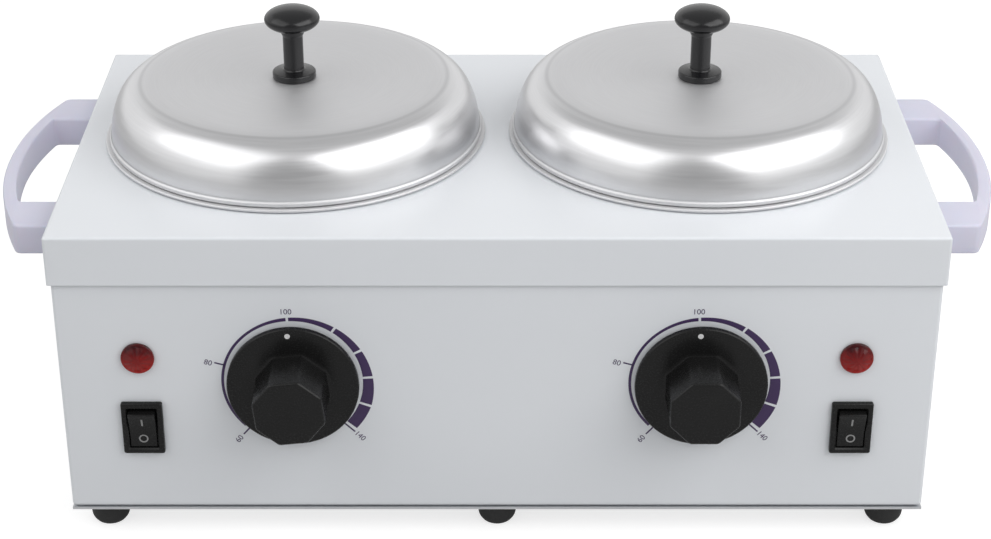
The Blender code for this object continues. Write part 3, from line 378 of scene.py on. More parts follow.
def spread(tree, value, low, high, start=0.0, end=1.0, smooth=False):
    """A number that runs from low to high while another runs from start to end."""
    node = add_node(tree, "ShaderNodeMapRange")
    if smooth:
        node.interpolation_type = "SMOOTHSTEP"
    for name, number in (("From Min", start), ("From Max", end), ("To Min", low), ("To Max", high)):
        node.inputs[name].default_value = number
    tree.links.new(value, node.inputs["Value"])
    return node.outputs["Result"]


NOISE_RANGE = (0.3, 0.7)


def over_noise(tree, cloud, low, high):
    """A number that runs from low to high over the values that a noise nearly always has."""
    return spread(tree, cloud, low, high, *NOISE_RANGE)


def blend(tree, share, first, second):
    """A colour between two, by a share."""
    node = add_node(tree, "ShaderNodeMix", data_type="RGBA")
    node.inputs[6].default_value = (*first, 1)
    node.inputs[7].default_value = (*second, 1)
    tree.links.new(share, node.inputs[0])
    return node.outputs[2]


def relief(tree, shader, height, strength, depth):
    """A bump of a real depth, in metres, on the shader's normal."""
    node = add_node(tree, "ShaderNodeBump", strength=strength, distance=depth)
    tree.links.new(height, node.inputs["Height"])
    tree.links.new(node.outputs["Normal"], shader.inputs["Normal"])


def maths(tree, operation, first, second):
    """One sum on two values, each a socket or a number."""
    node = add_node(tree, "ShaderNodeMath", operation=operation)
    for index, value in enumerate((first, second)):
        if isinstance(value, (int, float)):
            node.inputs[index].default_value = value
        else:
            tree.links.new(value, node.inputs[index])
    return node.outputs[0]


MOULD_CLOUDS = 60.0
MOULD_RELIEF = 0.5
MOULD_SPREAD = 0.04


def moulded(name, dark, light, roughness, grain, depth, **sockets):
    """A moulded or rubber finish: two near colours in slow clouds, and an even fine grain."""
    material, tree, shader = start_material(name, base_color=(*light, 1), **sockets)
    point = object_point(tree)
    colour = blend(tree, noise(tree, point, MOULD_CLOUDS), dark, light)
    tree.links.new(colour, shader.inputs["Base Color"])
    fine = noise(tree, point, grain, 3.0)
    rough = over_noise(tree, fine, roughness - MOULD_SPREAD, roughness + MOULD_SPREAD)
    tree.links.new(rough, shader.inputs["Roughness"])
    relief(tree, shader, fine, MOULD_RELIEF, depth)
    return material


# %% [markdown]
# ### Powder-coated steel
# The cover and the body are powder coated: a thick satin skin that never lies quite flat. Its
# orange peel has a pitch of one to two millimetres and a depth of a few thousandths of one, with
# a finer grain over it. A light coat layer gives the soft second gloss of such paint.

# %% Powder coat
ENAMEL = (0.80, 0.824, 0.857)
ENAMEL_DARK = (0.785, 0.810, 0.844)
ENAMEL_LIGHT = (0.815, 0.837, 0.869)
ENAMEL_CLOUDS = 14.0
PEEL_SCALE = 620.0
GRAIN_SCALE = 2600.0
GRAIN_SHARE = 0.25
PEEL_RELIEF = 0.35
PEEL_DEPTH = 0.012 * MM
ENAMEL_ROUGHNESS = (0.34, 0.44)


def powder_coat():
    """Cool white powder coat with orange peel."""
    material, tree, shader = start_material(
        "white_enamel", base_color=(*ENAMEL, 1), coat_weight=0.18, coat_roughness=0.22
    )
    point = object_point(tree)
    colour = blend(tree, noise(tree, point, ENAMEL_CLOUDS), ENAMEL_DARK, ENAMEL_LIGHT)
    tree.links.new(colour, shader.inputs["Base Color"])
    peel = noise(tree, point, PEEL_SCALE, 1.0)
    grain = noise(tree, point, GRAIN_SCALE, 2.0)
    tree.links.new(over_noise(tree, grain, *ENAMEL_ROUGHNESS), shader.inputs["Roughness"])
    height = maths(tree, "ADD", peel, maths(tree, "MULTIPLY", grain, GRAIN_SHARE))
    relief(tree, shader, height, PEEL_RELIEF, PEEL_DEPTH)
    return material


WHITE_ENAMEL = powder_coat()
print("finish:", WHITE_ENAMEL.name)

# %% [markdown]
# ### Aluminium, zinc and the plainer metals
# A lid is spun on a lathe, so its marks are rings about its own axis. The pattern is a noise that
# reads the radius many times faster than the angle. The crown keeps its satin, and the shoulder
# outside it is polished, so the roughness falls there. A thin, slightly darker ring is painted
# into the colour at the crease between crown and shoulder: painted shade for the dark reflection
# there. Each lid and pot stands on its own axis, so each has its own copy of the finish with its
# own centre.

# %% Marks round an axis
AXIS_GUARD = 0.5 * MM


def ring_marks(tree, centre, pitch, along=3.0):
    """Marks round an upright axis, the radius and the height: the marks are a noise whose first
    coordinate is the radius in pitches, and whose others are the angle's cosine and sine."""
    point = object_point(tree, centre)
    split = add_node(tree, "ShaderNodeSeparateXYZ")
    tree.links.new(point, split.inputs[0])
    x, y = split.outputs[0], split.outputs[1]
    squares = [maths(tree, "MULTIPLY", value, value) for value in (x, y)]
    radius = maths(tree, "SQRT", maths(tree, "ADD", *squares), 0)
    safe = maths(tree, "MAXIMUM", radius, AXIS_GUARD)
    join = add_node(tree, "ShaderNodeCombineXYZ")
    tree.links.new(maths(tree, "DIVIDE", radius, pitch), join.inputs[0])
    tree.links.new(maths(tree, "MULTIPLY", maths(tree, "DIVIDE", x, safe), along), join.inputs[1])
    tree.links.new(maths(tree, "MULTIPLY", maths(tree, "DIVIDE", y, safe), along), join.inputs[2])
    return noise(tree, join.outputs[0], 1.0, 3.0), radius, split.outputs[2]


# %% Spun and plated metal
LID_DARK, LID_LIGHT = (0.46, 0.46, 0.47), (0.69, 0.69, 0.70)
LID_RING_PITCH = 0.35 * MM
LID_SATIN = (0.54, 0.62)
LID_GLOSS = (0.29, 0.34)
# Painted shade at the lid's crease: a ring this wide, in which the colour falls to this share.
LID_CREASE_SHADE_WIDTH = 1.4 * MM
LID_CREASE_SHADE_SHARE = 0.55
LID_MARK_SHARE = 0.82
POLISH_BLEND = 5 * MM
CUP_DARK, CUP_LIGHT = (0.64, 0.64, 0.65), (0.71, 0.71, 0.72)
CUP_RING_PITCH = 0.6 * MM
CUP_ROUGHNESS = (0.56, 0.70)
METAL_SPREAD = 0.08
# A relief has its strength and its depth in metres.
LID_RELIEF = (0.06, 0.003 * MM)
CUP_RELIEF = (0.4, 0.01 * MM)
METAL_RELIEF = (0.2, 0.02 * MM)


def lid_metal(name, centre, polish_radius, lip_height):
    """Spun lid: satin crown with fine rings, painted shade in a thin ring at the given radius for the
    crease's dark reflection, a polished shoulder outside it, and a satin lip under the given height."""
    material, tree, shader = start_material(name, base_color=(0.66, 0.66, 0.67, 1), metallic=1.0)
    marks, radius, height = ring_marks(tree, centre, LID_RING_PITCH)
    inside_edge, outside_edge = polish_radius - POLISH_BLEND, polish_radius + POLISH_BLEND
    outside = spread(tree, radius, 0.0, 1.0, inside_edge, outside_edge, True)
    polish = maths(tree, "MULTIPLY", outside, maths(tree, "GREATER_THAN", height, lip_height))
    satin = over_noise(tree, marks, *LID_SATIN)
    gloss = over_noise(tree, marks, *LID_GLOSS)
    mixed = add_node(tree, "ShaderNodeMix", data_type="FLOAT")
    for index, value in ((0, polish), (2, satin), (3, gloss)):
        tree.links.new(value, mixed.inputs[index])
    tree.links.new(mixed.outputs[0], shader.inputs["Roughness"])
    away = maths(tree, "ABSOLUTE", maths(tree, "SUBTRACT", radius, polish_radius), 0)
    # Painted shade: the colour is darker in a thin ring at the crease, for its dark reflection.
    line = spread(tree, away, LID_CREASE_SHADE_SHARE, 1.0, 0.0, LID_CREASE_SHADE_WIDTH, True)
    share = maths(tree, "MULTIPLY", line, over_noise(tree, marks, LID_MARK_SHARE, 1.0))
    tree.links.new(blend(tree, share, LID_DARK, LID_LIGHT), shader.inputs["Base Color"])
    relief(tree, shader, marks, *LID_RELIEF)
    return material


def spun_metal(name, centre):
    """Turned pot or well: plain aluminium with clear rings."""
    material, tree, shader = start_material(name, base_color=(0.68, 0.68, 0.69, 1), metallic=1.0)
    marks, _, _ = ring_marks(tree, centre, CUP_RING_PITCH)
    tree.links.new(over_noise(tree, marks, *CUP_ROUGHNESS), shader.inputs["Roughness"])
    tree.links.new(blend(tree, marks, CUP_DARK, CUP_LIGHT), shader.inputs["Base Color"])
    relief(tree, shader, marks, *CUP_RELIEF)
    return material


def plain_metal(name, dark, light, roughness, scale):
    """A plated, drawn or tinted metal: clouds of two near tones and a cloudy roughness."""
    material, tree, shader = start_material(name, base_color=(*light, 1), metallic=1.0)
    cloud = noise(tree, object_point(tree), scale, 4.0)
    tree.links.new(blend(tree, cloud, dark, light), shader.inputs["Base Color"])
    rough = over_noise(tree, cloud, roughness + METAL_SPREAD, roughness - METAL_SPREAD)
    tree.links.new(rough, shader.inputs["Roughness"])
    relief(tree, shader, cloud, *METAL_RELIEF)
    return material


ZINC = plain_metal("zinc_steel", (0.56, 0.57, 0.59), (0.68, 0.69, 0.70), 0.42, 260.0)
MICA_STEEL = plain_metal("mica_steel", (0.36, 0.33, 0.30), (0.50, 0.46, 0.41), 0.52, 120.0)
COPPER = plain_metal("copper", (0.62, 0.33, 0.22), (0.76, 0.45, 0.32), 0.30, 180.0)
print("metals:", ZINC.name, MICA_STEEL.name, COPPER.name)

# %% [markdown]
# ### Plastics, rubber and the lamp's lens
# The handles are a pale lilac plastic that lets a little light in. The dials, knobs and switches
# are a glossy black one. Rubber is dull and rough. A finish of this kind is given by its darker
# and its lighter colour, its roughness, the scale of its grain, and the grain's depth in metres.

# %% Plastics
LILAC_PLASTIC = moulded(
    "lilac_plastic", (0.655, 0.645, 0.775), (0.685, 0.675, 0.795), 0.38, 900.0, 0.000008,
    subsurface_weight=0.08,
)
BLACK_PLASTIC = moulded(
    "black_plastic", (0.006, 0.006, 0.006), (0.010, 0.010, 0.010), 0.26, 1500.0, 0.000004,
    specular_ior_level=0.24,
)
BLACK_KNOB = moulded(
    "black_knob", (0.006, 0.006, 0.007), (0.010, 0.010, 0.011), 0.22, 1500.0, 0.000003,
    specular_ior_level=0.42,
)
BLACK_RUBBER = moulded("black_rubber", (0.012, 0.012, 0.012), (0.022, 0.022, 0.022), 0.66, 1300.0, 0.00003)
CERAMIC = moulded("ceramic", (0.74, 0.71, 0.64), (0.81, 0.79, 0.73), 0.62, 700.0, 0.00003)
NATURAL_NYLON = moulded("natural_nylon", (0.72, 0.71, 0.66), (0.77, 0.76, 0.72), 0.48, 900.0, 0.00001)
BLACK_SLEEVE = moulded("black_sleeve", (0.022, 0.022, 0.022), (0.034, 0.034, 0.034), 0.52, 800.0, 0.00002)
WHITE_SLEEVE = moulded("white_sleeve", (0.74, 0.73, 0.68), (0.80, 0.79, 0.74), 0.58, 800.0, 0.00002)
SCALE_INK = moulded("scale_ink", (0.036, 0.014, 0.075), (0.048, 0.020, 0.095), 0.45, 1200.0, 0.000004)
WHITE_INK = moulded("white_ink", (0.70, 0.70, 0.70), (0.78, 0.78, 0.78), 0.45, 1200.0, 0.000004)
GREY_INK = moulded("grey_ink", (0.26, 0.26, 0.26), (0.31, 0.31, 0.31), 0.5, 1200.0, 0.000004)
print("plastics:", LILAC_PLASTIC.name, BLACK_PLASTIC.name, BLACK_KNOB.name, BLACK_RUBBER.name)

# %% [markdown]
# The lamp's lens is clear red plastic: most of its colour comes from light that goes in and
# comes out again. A slow solver could follow that light. A fall of the colour with the height is
# enough here, and it is counted from the middle of the lamp, which is read from the frame.

# %% Red lens plastic
LENS_DARK = (0.055, 0.004, 0.007)
LENS_LIGHT = (0.46, 0.016, 0.011)
LENS_SPAN = 5 * MM
LENS_CLOUDS = 500.0
LENS_CLOUD_SHARE = 0.5
LENS_ROUGHNESS = (0.12, 0.2)
LENS_RELIEF = (0.3, 0.004 * MM)


def lens_plastic(middle_height):
    """Clear red plastic. Light falls in from above and gathers in the lower half of the dome, so
    the colour runs from dark at the top to light at the bottom, with faint clouds in it."""
    material, tree, shader = start_material(
        "red_lens", base_color=(*LENS_LIGHT, 1), transmission_weight=0.2, ior=1.49, specular_ior_level=0.2
    )
    point = object_point(tree)
    split = add_node(tree, "ShaderNodeSeparateXYZ")
    tree.links.new(point, split.inputs[0])
    foot, head = middle_height - LENS_SPAN, middle_height + LENS_SPAN
    fall = spread(tree, split.outputs[2], 1.0, 0.0, foot, head)
    cloud = noise(tree, point, LENS_CLOUDS, 3.0)
    waver = maths(tree, "MULTIPLY", maths(tree, "SUBTRACT", cloud, 0.5), LENS_CLOUD_SHARE)
    share = maths(tree, "ADD", fall, waver)
    tree.links.new(blend(tree, share, LENS_DARK, LENS_LIGHT), shader.inputs["Base Color"])
    tree.links.new(over_noise(tree, cloud, *LENS_ROUGHNESS), shader.inputs["Roughness"])
    relief(tree, shader, cloud, *LENS_RELIEF)
    return material


RED_LENS = lens_plastic(middle("lamp_lens_left")[2])
print("lens plastic:", RED_LENS.name)

# %% [markdown]
# ## The top cover
# The cover is a shallow tray of sheet steel, turned down over the body, with a round hole for
# each pot. A box with two holes cut out would do, but here each half of the top is ruled: rays
# run from the edge of its hole to the edge of the plate, so that the mesh follows the shape.
# A second grid carries the bend and the skirt round the plate. Both use the same points along
# the edge, so they meet without a crack, and the sheet then gets its thickness inwards.

# %% Top cover
POT_HOLE_RADIUS = 58.7 * MM
HOLE_COLUMNS = 96
SUPPORT = 0.4 * MM
BEND_STEPS = 6
COVER_FOLD = 1.0 * MM
NEARLY = 1e-6

flat_half = (COVER_HIGH - COVER_LOW)[:2] / 2 - COVER_FOLD
cover_middle = (COVER_HIGH + COVER_LOW)[:2] / 2
pot_middle = middle("wax_pot_right")


def ray_plate(side):
    """Half of the flat top. Each ray starts at the plate's edge and ends at the hole's: its
    reach is the nearer of the two distances at which it leaves the half rectangle."""
    centre = np.array((side * pot_middle[0], pot_middle[1]))
    low = np.array((min(side * flat_half[0], 0), cover_middle[1] - flat_half[1]))
    high = np.array((max(side * flat_half[0], 0), cover_middle[1] + flat_half[1]))
    corner_x, corner_y = np.meshgrid((low[0], high[0]), (low[1], high[1]))
    corner_angle = np.arctan2(corner_y - centre[1], corner_x - centre[0]).ravel() % (2 * math.pi)
    angle = np.unique(np.round(np.concatenate([ring(HOLE_COLUMNS), corner_angle]), 9))
    way = np.stack([np.cos(angle), np.sin(angle)], axis=1)
    way[np.abs(way) < NEARLY] = 0
    span = np.where(way > 0, high - centre, low - centre)
    reach = np.divide(span, way, out=np.full_like(way, np.inf), where=way != 0).min(axis=1)
    hole = np.full_like(reach, POT_HOLE_RADIUS)
    distance = np.stack([reach, reach - SUPPORT, hole + SUPPORT, hole])
    grid = centre + distance[:, :, None] * way
    return np.concatenate([grid, np.full(grid.shape[:2] + (1,), COVER_HIGH[2])], axis=-1)


def rim_stations(edge_points, steps):
    """Points along the plate's edge, counterclockwise, and which way is outwards at each. At a
    corner the same point repeats while the outward way turns by a right angle."""
    away = edge_points - cover_middle
    on_edge = np.isclose(np.abs(away), flat_half, atol=NEARLY)
    points = np.unique(np.round(away[on_edge.any(axis=1)], 7), axis=0)
    order = np.argsort(np.arctan2(points[:, 1], points[:, 0]))
    points = points[order]
    on_edge = np.isclose(np.abs(points), flat_half, atol=NEARLY)
    corner = on_edge.all(axis=1)
    x_angle = np.where(points[:, 0] > 0, 0.0, math.pi)
    y_angle = np.where(points[:, 1] > 0, math.pi / 2, -math.pi / 2)
    facing = np.where(on_edge[:, 0], x_angle, y_angle)
    first = np.floor(np.arctan2(points[:, 1], points[:, 0]) / (math.pi / 2)) * math.pi / 2
    counts = np.where(corner, steps + 1, 1)
    index = np.repeat(np.arange(len(points)), counts)
    step = np.arange(len(index)) - np.repeat(np.cumsum(counts) - counts, counts)
    facing = np.where(corner[index], first[index] + step / steps * math.pi / 2, facing[index])
    return points[index] + cover_middle, np.stack([np.cos(facing), np.sin(facing)], axis=1)


def cover_skin():
    """The two ruled half plates, and the bend and skirt carried round their outer edge."""
    plates = [ray_plate(side) for _, side in SIDES]
    edge, outward = rim_stations(np.concatenate([plate[0, :, :2] for plate in plates]), BEND_STEPS)
    bend = np.linspace(math.pi / 2, 0, BEND_STEPS + 1)
    skirt = (COVER_LOW[2], COVER_LOW[2] + SUPPORT, COVER_HIGH[2] - COVER_FOLD - SUPPORT)
    out = np.concatenate([np.full(3, COVER_FOLD), COVER_FOLD * np.sin(bend)])
    height = np.concatenate([skirt, COVER_HIGH[2] - COVER_FOLD * (1 - np.cos(bend))])
    band = edge + out[:, None, None] * outward
    band = np.concatenate([band, np.broadcast_to(height[:, None, None], band.shape[:2] + (1,))], axis=-1)
    return skin(*(patch(plate, round_columns=True) for plate in plates),
                patch(band, round_columns=True), closed=False)


def screw_tools(names, radius, reach, facing):
    """Cutters along the axes of the named screws."""
    return [drum(radius, -reach, reach, 24, centre=middle(name), facing=facing) for name in names]


HANDLE_SCREWS = [f"handle_screw_{side}_{row}" for side in SIDE_NAMES for row in ("front", "rear")]
HANDLE_HOLE_RADIUS = 2.2 * MM
SCREW_TOOL_REACH = 12 * MM
handle_holes = screw_tools(HANDLE_SCREWS, HANDLE_HOLE_RADIUS, SCREW_TOOL_REACH, "right")
cover = wall(add_mesh("cover", cover_skin()), SHEET, EDGE)
dress(cut(cover, *handle_holes), WHITE_ENAMEL, "white_enamel", "housing", "top_cover")

# %% [markdown]
# ## The body
# The body is the box under the cover: four walls and an inward lip round the bottom. Its profile
# runs in along the lip, round the bend and up the wall, and is carried round a rounded
# rectangle. Where the profile lies further in than the corner's radius, the corner is mitred,
# as a folded lip is. Holes for the dials' shafts, the lamps, the switches, the gland and the
# screws are then cut out, each with its own closed skin as a tool.

# %% Body
BODY_LIP = 20 * MM
SHAFT_HOLE_RADIUS = 4.5 * MM
LAMP_HOLE_RADIUS = 5.0 * MM
WINDOW_HALF = (6.8 * MM, 9.8 * MM)
WINDOW_CORNER = 0.3 * MM
GLAND_HOLE_RADIUS = 6.3 * MM
THERMOSTAT_HOLE_RADIUS = 2.2 * MM
FOOT_HOLE_RADIUS = 2.0 * MM
PANEL_REACH = 3 * MM

body_half = (BODY_HIGH - BODY_LOW)[:2] / 2
FEET = [f"{row}_{column}" for row in ("front", "rear") for column in ("left", "middle", "right")]


def body_skin():
    """Outer skin of the body: lip, bend and wall, carried round a rounded rectangle."""
    low, high = BODY_LOW[2], BODY_HIGH[2]
    lip = [(-BODY_LIP, low), (-BODY_LIP + SUPPORT, low), (-FOLD_RADIUS - SUPPORT, low)]
    profile = rounded(
        lip + [(0, low), (0, low + FOLD_RADIUS + SUPPORT), (0, high - SUPPORT), (0, high)],
        [0, 0, 0, FOLD_RADIUS, 0, 0, 0], BEND_STEPS,
    )
    out, height = profile.T
    radius = np.maximum(FOLD_RADIUS + out, 0)
    grid = loops(body_half[0] + out, body_half[1] + out, radius, height, BEND_STEPS)
    return skin(patch(place(grid, (*cover_middle, 0)), round_columns=True), closed=False)


def window_tool(centre):
    """A closed block through the panel, the size of a switch's window."""
    ends = np.array((-PANEL_REACH, PANEL_REACH))
    grid = loops(*WINDOW_HALF, WINDOW_CORNER, ends)
    caps = loops(0.0, 0.0, 0.0, ends)
    rows = np.concatenate([caps[:1], grid, caps[1:]])
    return skin(patch(place(rows, centre, "front"), round_columns=True))


def at_front(node):
    """A node's middle, moved to the front panel."""
    return middle(node) * (1, 0, 1) + (0, FRONT_Y, 0)


body_tools = []
for side_name in SIDE_NAMES:
    for node, radius in (("dial_knob", SHAFT_HOLE_RADIUS), ("lamp_lens", LAMP_HOLE_RADIUS)):
        centre = at_front(f"{node}_{side_name}")
        body_tools.append(drum(radius, -PANEL_REACH, PANEL_REACH, centre=centre, facing="front"))
    body_tools.append(window_tool(at_front(f"switch_housing_{side_name}")))
    names = [f"thermostat_screw_{side_name}_{row}" for row in ("inner", "outer")]
    body_tools += screw_tools(names, THERMOSTAT_HOLE_RADIUS, SCREW_TOOL_REACH, "front")
gland_centre = middle("cord_gland") * (1, 0, 1) + (0, REAR_Y, 0)
gland_tool = drum(GLAND_HOLE_RADIUS, -PANEL_REACH, PANEL_REACH, centre=gland_centre, facing="back")
foot_screws = [f"foot_screw_{name}" for name in FEET]
body_tools += [gland_tool, *screw_tools(foot_screws, FOOT_HOLE_RADIUS, SCREW_TOOL_REACH, "up")]
folded_body = cut(wall(add_mesh("body", body_skin()), SHEET, EDGE), *body_tools, *handle_holes)
dress(folded_body, WHITE_ENAMEL, "white_enamel", "housing", "body_shell")

# %% [markdown]
# ## The feet
# Each foot is a moulded rubber dome on a collar, with a recess under it for its screw. The
# profile is a closed ring: out along the base, up the dome, in over the top and down the bore.

# %% Feet
# Each corner is given by its radius, its height and the radius of its rounding, in millimetres.
FOOT_PROFILE = (
    (3.3, 0, 0.3), (5.2, 0, 1.6), (6.9, 2.2, 4.0), (7.5, 7.5, 0.3),
    (7.5, 10.5, 0.4), (2.0, 10.5, 0.0), (2.0, 4.2, 0.0), (3.3, 4.2, 0.2),
)


def foot_skin(centre):
    """A foot about its upright axis, from its profile in millimetres with each corner's radius."""
    profile = np.array(FOOT_PROFILE) * MM
    outline = rounded(profile[:, :2], profile[:, 2], 6, closed=True)
    return skin(turned(outline, 72, closed=True, centre=centre * (1, 1, 0)))


for name in FEET:
    foot = add_mesh(f"rubber_foot_{name}", foot_skin(middle(f"foot_{name}")))
    dress(foot, BLACK_RUBBER, "black_rubber", "housing", f"foot_{name}")

# %% [markdown]
# ## The bow handles
# A handle is a moulded loop of lilac plastic: two arms that stand out from the end of the
# cover and a bow between them. Its section is a rounded rectangle, carried along the loop
# between an inner and an outer outline that have the same number of points.

# %% Handles
HANDLE_EDGE = 1.2 * MM
HANDLE_SHOULDER_RADIUS = 3.0 * MM
HANDLE_INNER_RADIUS = 2.0 * MM
HANDLE_HALF_OPENING = 37.6 * MM
HANDLE_SHOULDER_REACH = 15.2 * MM
HANDLE_BOW_RISE = 12.5 * MM
HANDLE_BOW_THICKNESS = 5.2 * MM
HANDLE_INNER_RISE = 5.2 * MM
HANDLE_ARM_ROWS = 4
HANDLE_BOW_ROWS = 48


def bow_outline(half_span, root, base, rise, corner):
    """One outline of the loop, from end to end: out along an arm, round its corner, along a
    shallow arc that rises over the chord at the base, and back. The arc's radius is the sum of
    the squares of half the chord and of the rise, over twice the rise."""
    radius = (half_span ** 2 + rise ** 2) / (2 * rise)
    sweep = math.asin(half_span / radius) * np.linspace(-1, 1, HANDLE_BOW_ROWS)
    arc = np.stack([base + rise - radius + radius * np.cos(sweep), radius * np.sin(sweep)], axis=1)
    arm = np.linspace(root, base - 2 * corner, HANDLE_ARM_ROWS)
    first = np.stack([arm, np.full_like(arm, -half_span)], axis=1)
    points = np.concatenate([first, arc, first[::-1] * (1, -1)])
    radii = np.zeros(len(points))
    radii[[HANDLE_ARM_ROWS, -HANDLE_ARM_ROWS - 1]] = corner
    beside = np.ones(len(points), bool)
    beside[[HANDLE_ARM_ROWS + 1, -HANDLE_ARM_ROWS - 2]] = False
    return rounded(points[beside], radii[beside], 8)


def handle_skin(name, side):
    """The section carried along the loop. Across is the way from the inner to the outer outline,
    and the corners of the section are quarter circles of the edge's radius."""
    low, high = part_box(f"handle_{name}")
    half_length = (high.y - low.y) / 2
    root = abs(low.x) if side > 0 else abs(high.x)
    crest = abs(high.x) if side > 0 else abs(low.x)
    base = crest - HANDLE_BOW_RISE
    outer = bow_outline(half_length, root, base, HANDLE_BOW_RISE, HANDLE_SHOULDER_RADIUS)
    inner_base = crest - HANDLE_BOW_THICKNESS - HANDLE_INNER_RISE
    inner = bow_outline(HANDLE_HALF_OPENING, root, inner_base, HANDLE_INNER_RISE, HANDLE_INNER_RADIUS)
    across = outer - inner
    width = np.linalg.norm(across, axis=1)
    section = loops(width / 2, (high.z - low.z) / 2, HANDLE_EDGE, 0, 5)
    middle_line = (outer + inner) / 2
    flat = middle_line[:, None] + section[:, :, :1] * (across / width[:, None])[:, None]
    grid = np.concatenate([flat, section[:, :, 1:2]], axis=-1)
    ends = grid[[0, -1]].mean(axis=1, keepdims=True) + 0 * grid[[0, -1]]
    grid = np.concatenate([ends[:1], grid, ends[1:]])
    grid[:, :, 0] *= side
    return skin(patch(place(grid, middle(f"handle_{name}") * (0, 1, 1)), round_columns=True))


HANDLE_BORE_RADIUS = 2.2 * MM
HANDLE_BORE_REACH = 7.4 * MM
for side_name, side in SIDES:
    handle = add_mesh(f"bow_handle_{side_name}", handle_skin(side_name, side), 40)
    names = [name for name in HANDLE_SCREWS if side_name in name]
    cut(handle, *screw_tools(names, HANDLE_BORE_RADIUS, HANDLE_BORE_REACH, "right"))
    dress(handle, LILAC_PLASTIC, "lilac_plastic", "housing", f"handle_{side_name}")

# %% [markdown]
# ## Wells and pots
# Both are spun cups with a flange: the well hangs under the cover and the pot hangs in the well.
# One profile serves both. It runs under the flange, down the outside, across the floor and back
# up the inside, so the cup is closed, and the pot's rim gets a rolled edge.

# %% Wells and pots
CUP_WALL = 1.2 * MM
POT_CORNER = 9.0 * MM
WELL_CORNER = 11.4 * MM
POT_RADIUS = 57.5 * MM
WELL_OUTER_RADIUS = 59.9 * MM
FLANGE_FILLET = 1.5 * MM
FLANGE_ROOT = 0.3 * MM
RIM_EDGE = CUP_WALL * 0.45


def cup_profile(low, high, radius, rim_radius, corner):
    """Closed outline of a flanged cup with an even wall, from the middle of its floor's underside
    out, up and over the flange, and down the inside to the floor's top."""
    inner = radius - CUP_WALL
    corners = [
        (0, low), (radius, low), (radius, high - CUP_WALL), (rim_radius, high - CUP_WALL),
        (rim_radius, high), (inner, high), (inner, low + CUP_WALL), (0, low + CUP_WALL),
    ]
    fillets = [0, corner, FLANGE_ROOT, RIM_EDGE, RIM_EDGE, FLANGE_FILLET, corner - CUP_WALL, 0]
    return rounded(corners, fillets, 10)


for side_name in SIDE_NAMES:
    axis = middle(f"well_{side_name}") * (1, 1, 0)
    metal = spun_metal(f"spun_aluminium_{side_name}", axis)
    for kind, node, carrier, radius, corner in (
        ("spun_well", "well", "housing", WELL_OUTER_RADIUS, WELL_CORNER),
        ("pot", "wax_pot", f"pot_{side_name}", POT_RADIUS, POT_CORNER),
    ):
        low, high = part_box(f"{node}_{side_name}")
        profile = cup_profile(low.z, high.z, radius, (high.x - low.x) / 2, corner)
        cup = add_mesh(f"{kind}_{side_name}", skin(turned(profile, 128, centre=axis)))
        dress(cup, metal, "spun_aluminium", carrier, f"{node}_{side_name}")

# %% [markdown]
# ## The lids
# A lid is spun from one disc: a slightly dished crown inside a rounded shoulder. Its height is
# one curve of the radius less another. The first stays level and then drops steeply at the edge,
# and the second is a low parabola. The inner skin is the outer one moved in along its normal.

# %% Lids
LID_RADIUS = 70.2 * MM
LID_WALL = 1.0 * MM
LID_DISH = 2.5 * MM
LID_SHOULDER = 23.6 * MM
LID_DROP_POWER = 12.0
LID_ROUND_POWER = 1.75
LID_SCREW_HOLE = 2.0 * MM
LID_BEAD = 0.5 * MM
LID_BEAD_HEIGHT = 1.4 * MM
POLISH_RADIUS = 58 * MM
LIP_SATIN = 2.6 * MM
CROWN_SHARE = 0.78
CROWN_ROWS = 26
SHOULDER_LEAN = (10, 86)
SHOULDER_ROWS = 34
LID_BEAD_FILLETS = (0, 0.3, 0.4, 0.45, 0.45, 0)
LID_COLUMNS = 192


def lid_height(radius):
    """Height over the lip: shoulder x (1 - share^12)^(1/1.75) - dish x (1 - share^2)."""
    share = radius / LID_RADIUS
    drop = np.maximum(0, 1 - share ** LID_DROP_POWER) ** (1 / LID_ROUND_POWER)
    return LID_SHOULDER * drop - LID_DISH * (1 - share ** 2)


def lid_profile():
    """The whole section of the lid: the inner skin out from the hole, the lip with its rolled
    bead, and the outer skin back in to the hole."""
    crown = np.linspace(LID_SCREW_HOLE, CROWN_SHARE * LID_RADIUS, CROWN_ROWS)
    lean = np.radians(np.linspace(*SHOULDER_LEAN, SHOULDER_ROWS))
    shoulder = LID_RADIUS * np.sin(lean) ** (2 / LID_DROP_POWER)
    radius = np.unique(np.concatenate([crown, shoulder]))
    outer = np.stack([radius, lid_height(radius)], axis=1)
    bead_out = LID_RADIUS + LID_BEAD
    bead_in = LID_RADIUS + LID_BEAD - LID_WALL
    bead = rounded(
        [(LID_RADIUS, LID_BEAD_HEIGHT + 2 * LID_BEAD), (LID_RADIUS, LID_BEAD_HEIGHT + LID_BEAD),
         (bead_out, LID_BEAD_HEIGHT), (bead_out, 0), (bead_in, 0), (bead_in, LID_BEAD_HEIGHT)],
        np.array(LID_BEAD_FILLETS) * MM, 4,
    )
    way = np.gradient(outer, axis=0)
    way /= np.linalg.norm(way, axis=1, keepdims=True)
    inner = outer + LID_WALL * np.stack([way[:, 1], -way[:, 0]], axis=1)
    inner = inner[inner[:, 1] > LID_BEAD_HEIGHT]
    inner[0, 0] = LID_SCREW_HOLE
    return np.concatenate([outer, bead, inner[::-1]])


for side_name in SIDE_NAMES:
    lip_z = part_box(f"lid_{side_name}")[0].z
    axis = middle(f"lid_{side_name}") * (1, 1, 0)
    metal = lid_metal(f"satin_aluminium_{side_name}", axis, POLISH_RADIUS, lip_z + LIP_SATIN)
    made = skin(turned(lid_profile(), LID_COLUMNS, True, centre=axis + (0, 0, lip_z)))
    lid = add_mesh(f"spun_lid_{side_name}", made)
    dress(lid, metal, "satin_aluminium", f"lid_{side_name}", f"lid_{side_name}")

# %% [markdown]
# ## The lid knobs
# A knob is a glossy black mushroom: a flattened head over a thin stem that stands on a round
# flange, with a small collar under the head and a blind bore for its screw. The head is an
# ellipse, and the rest is a rounded profile, so the whole is one turned piece.

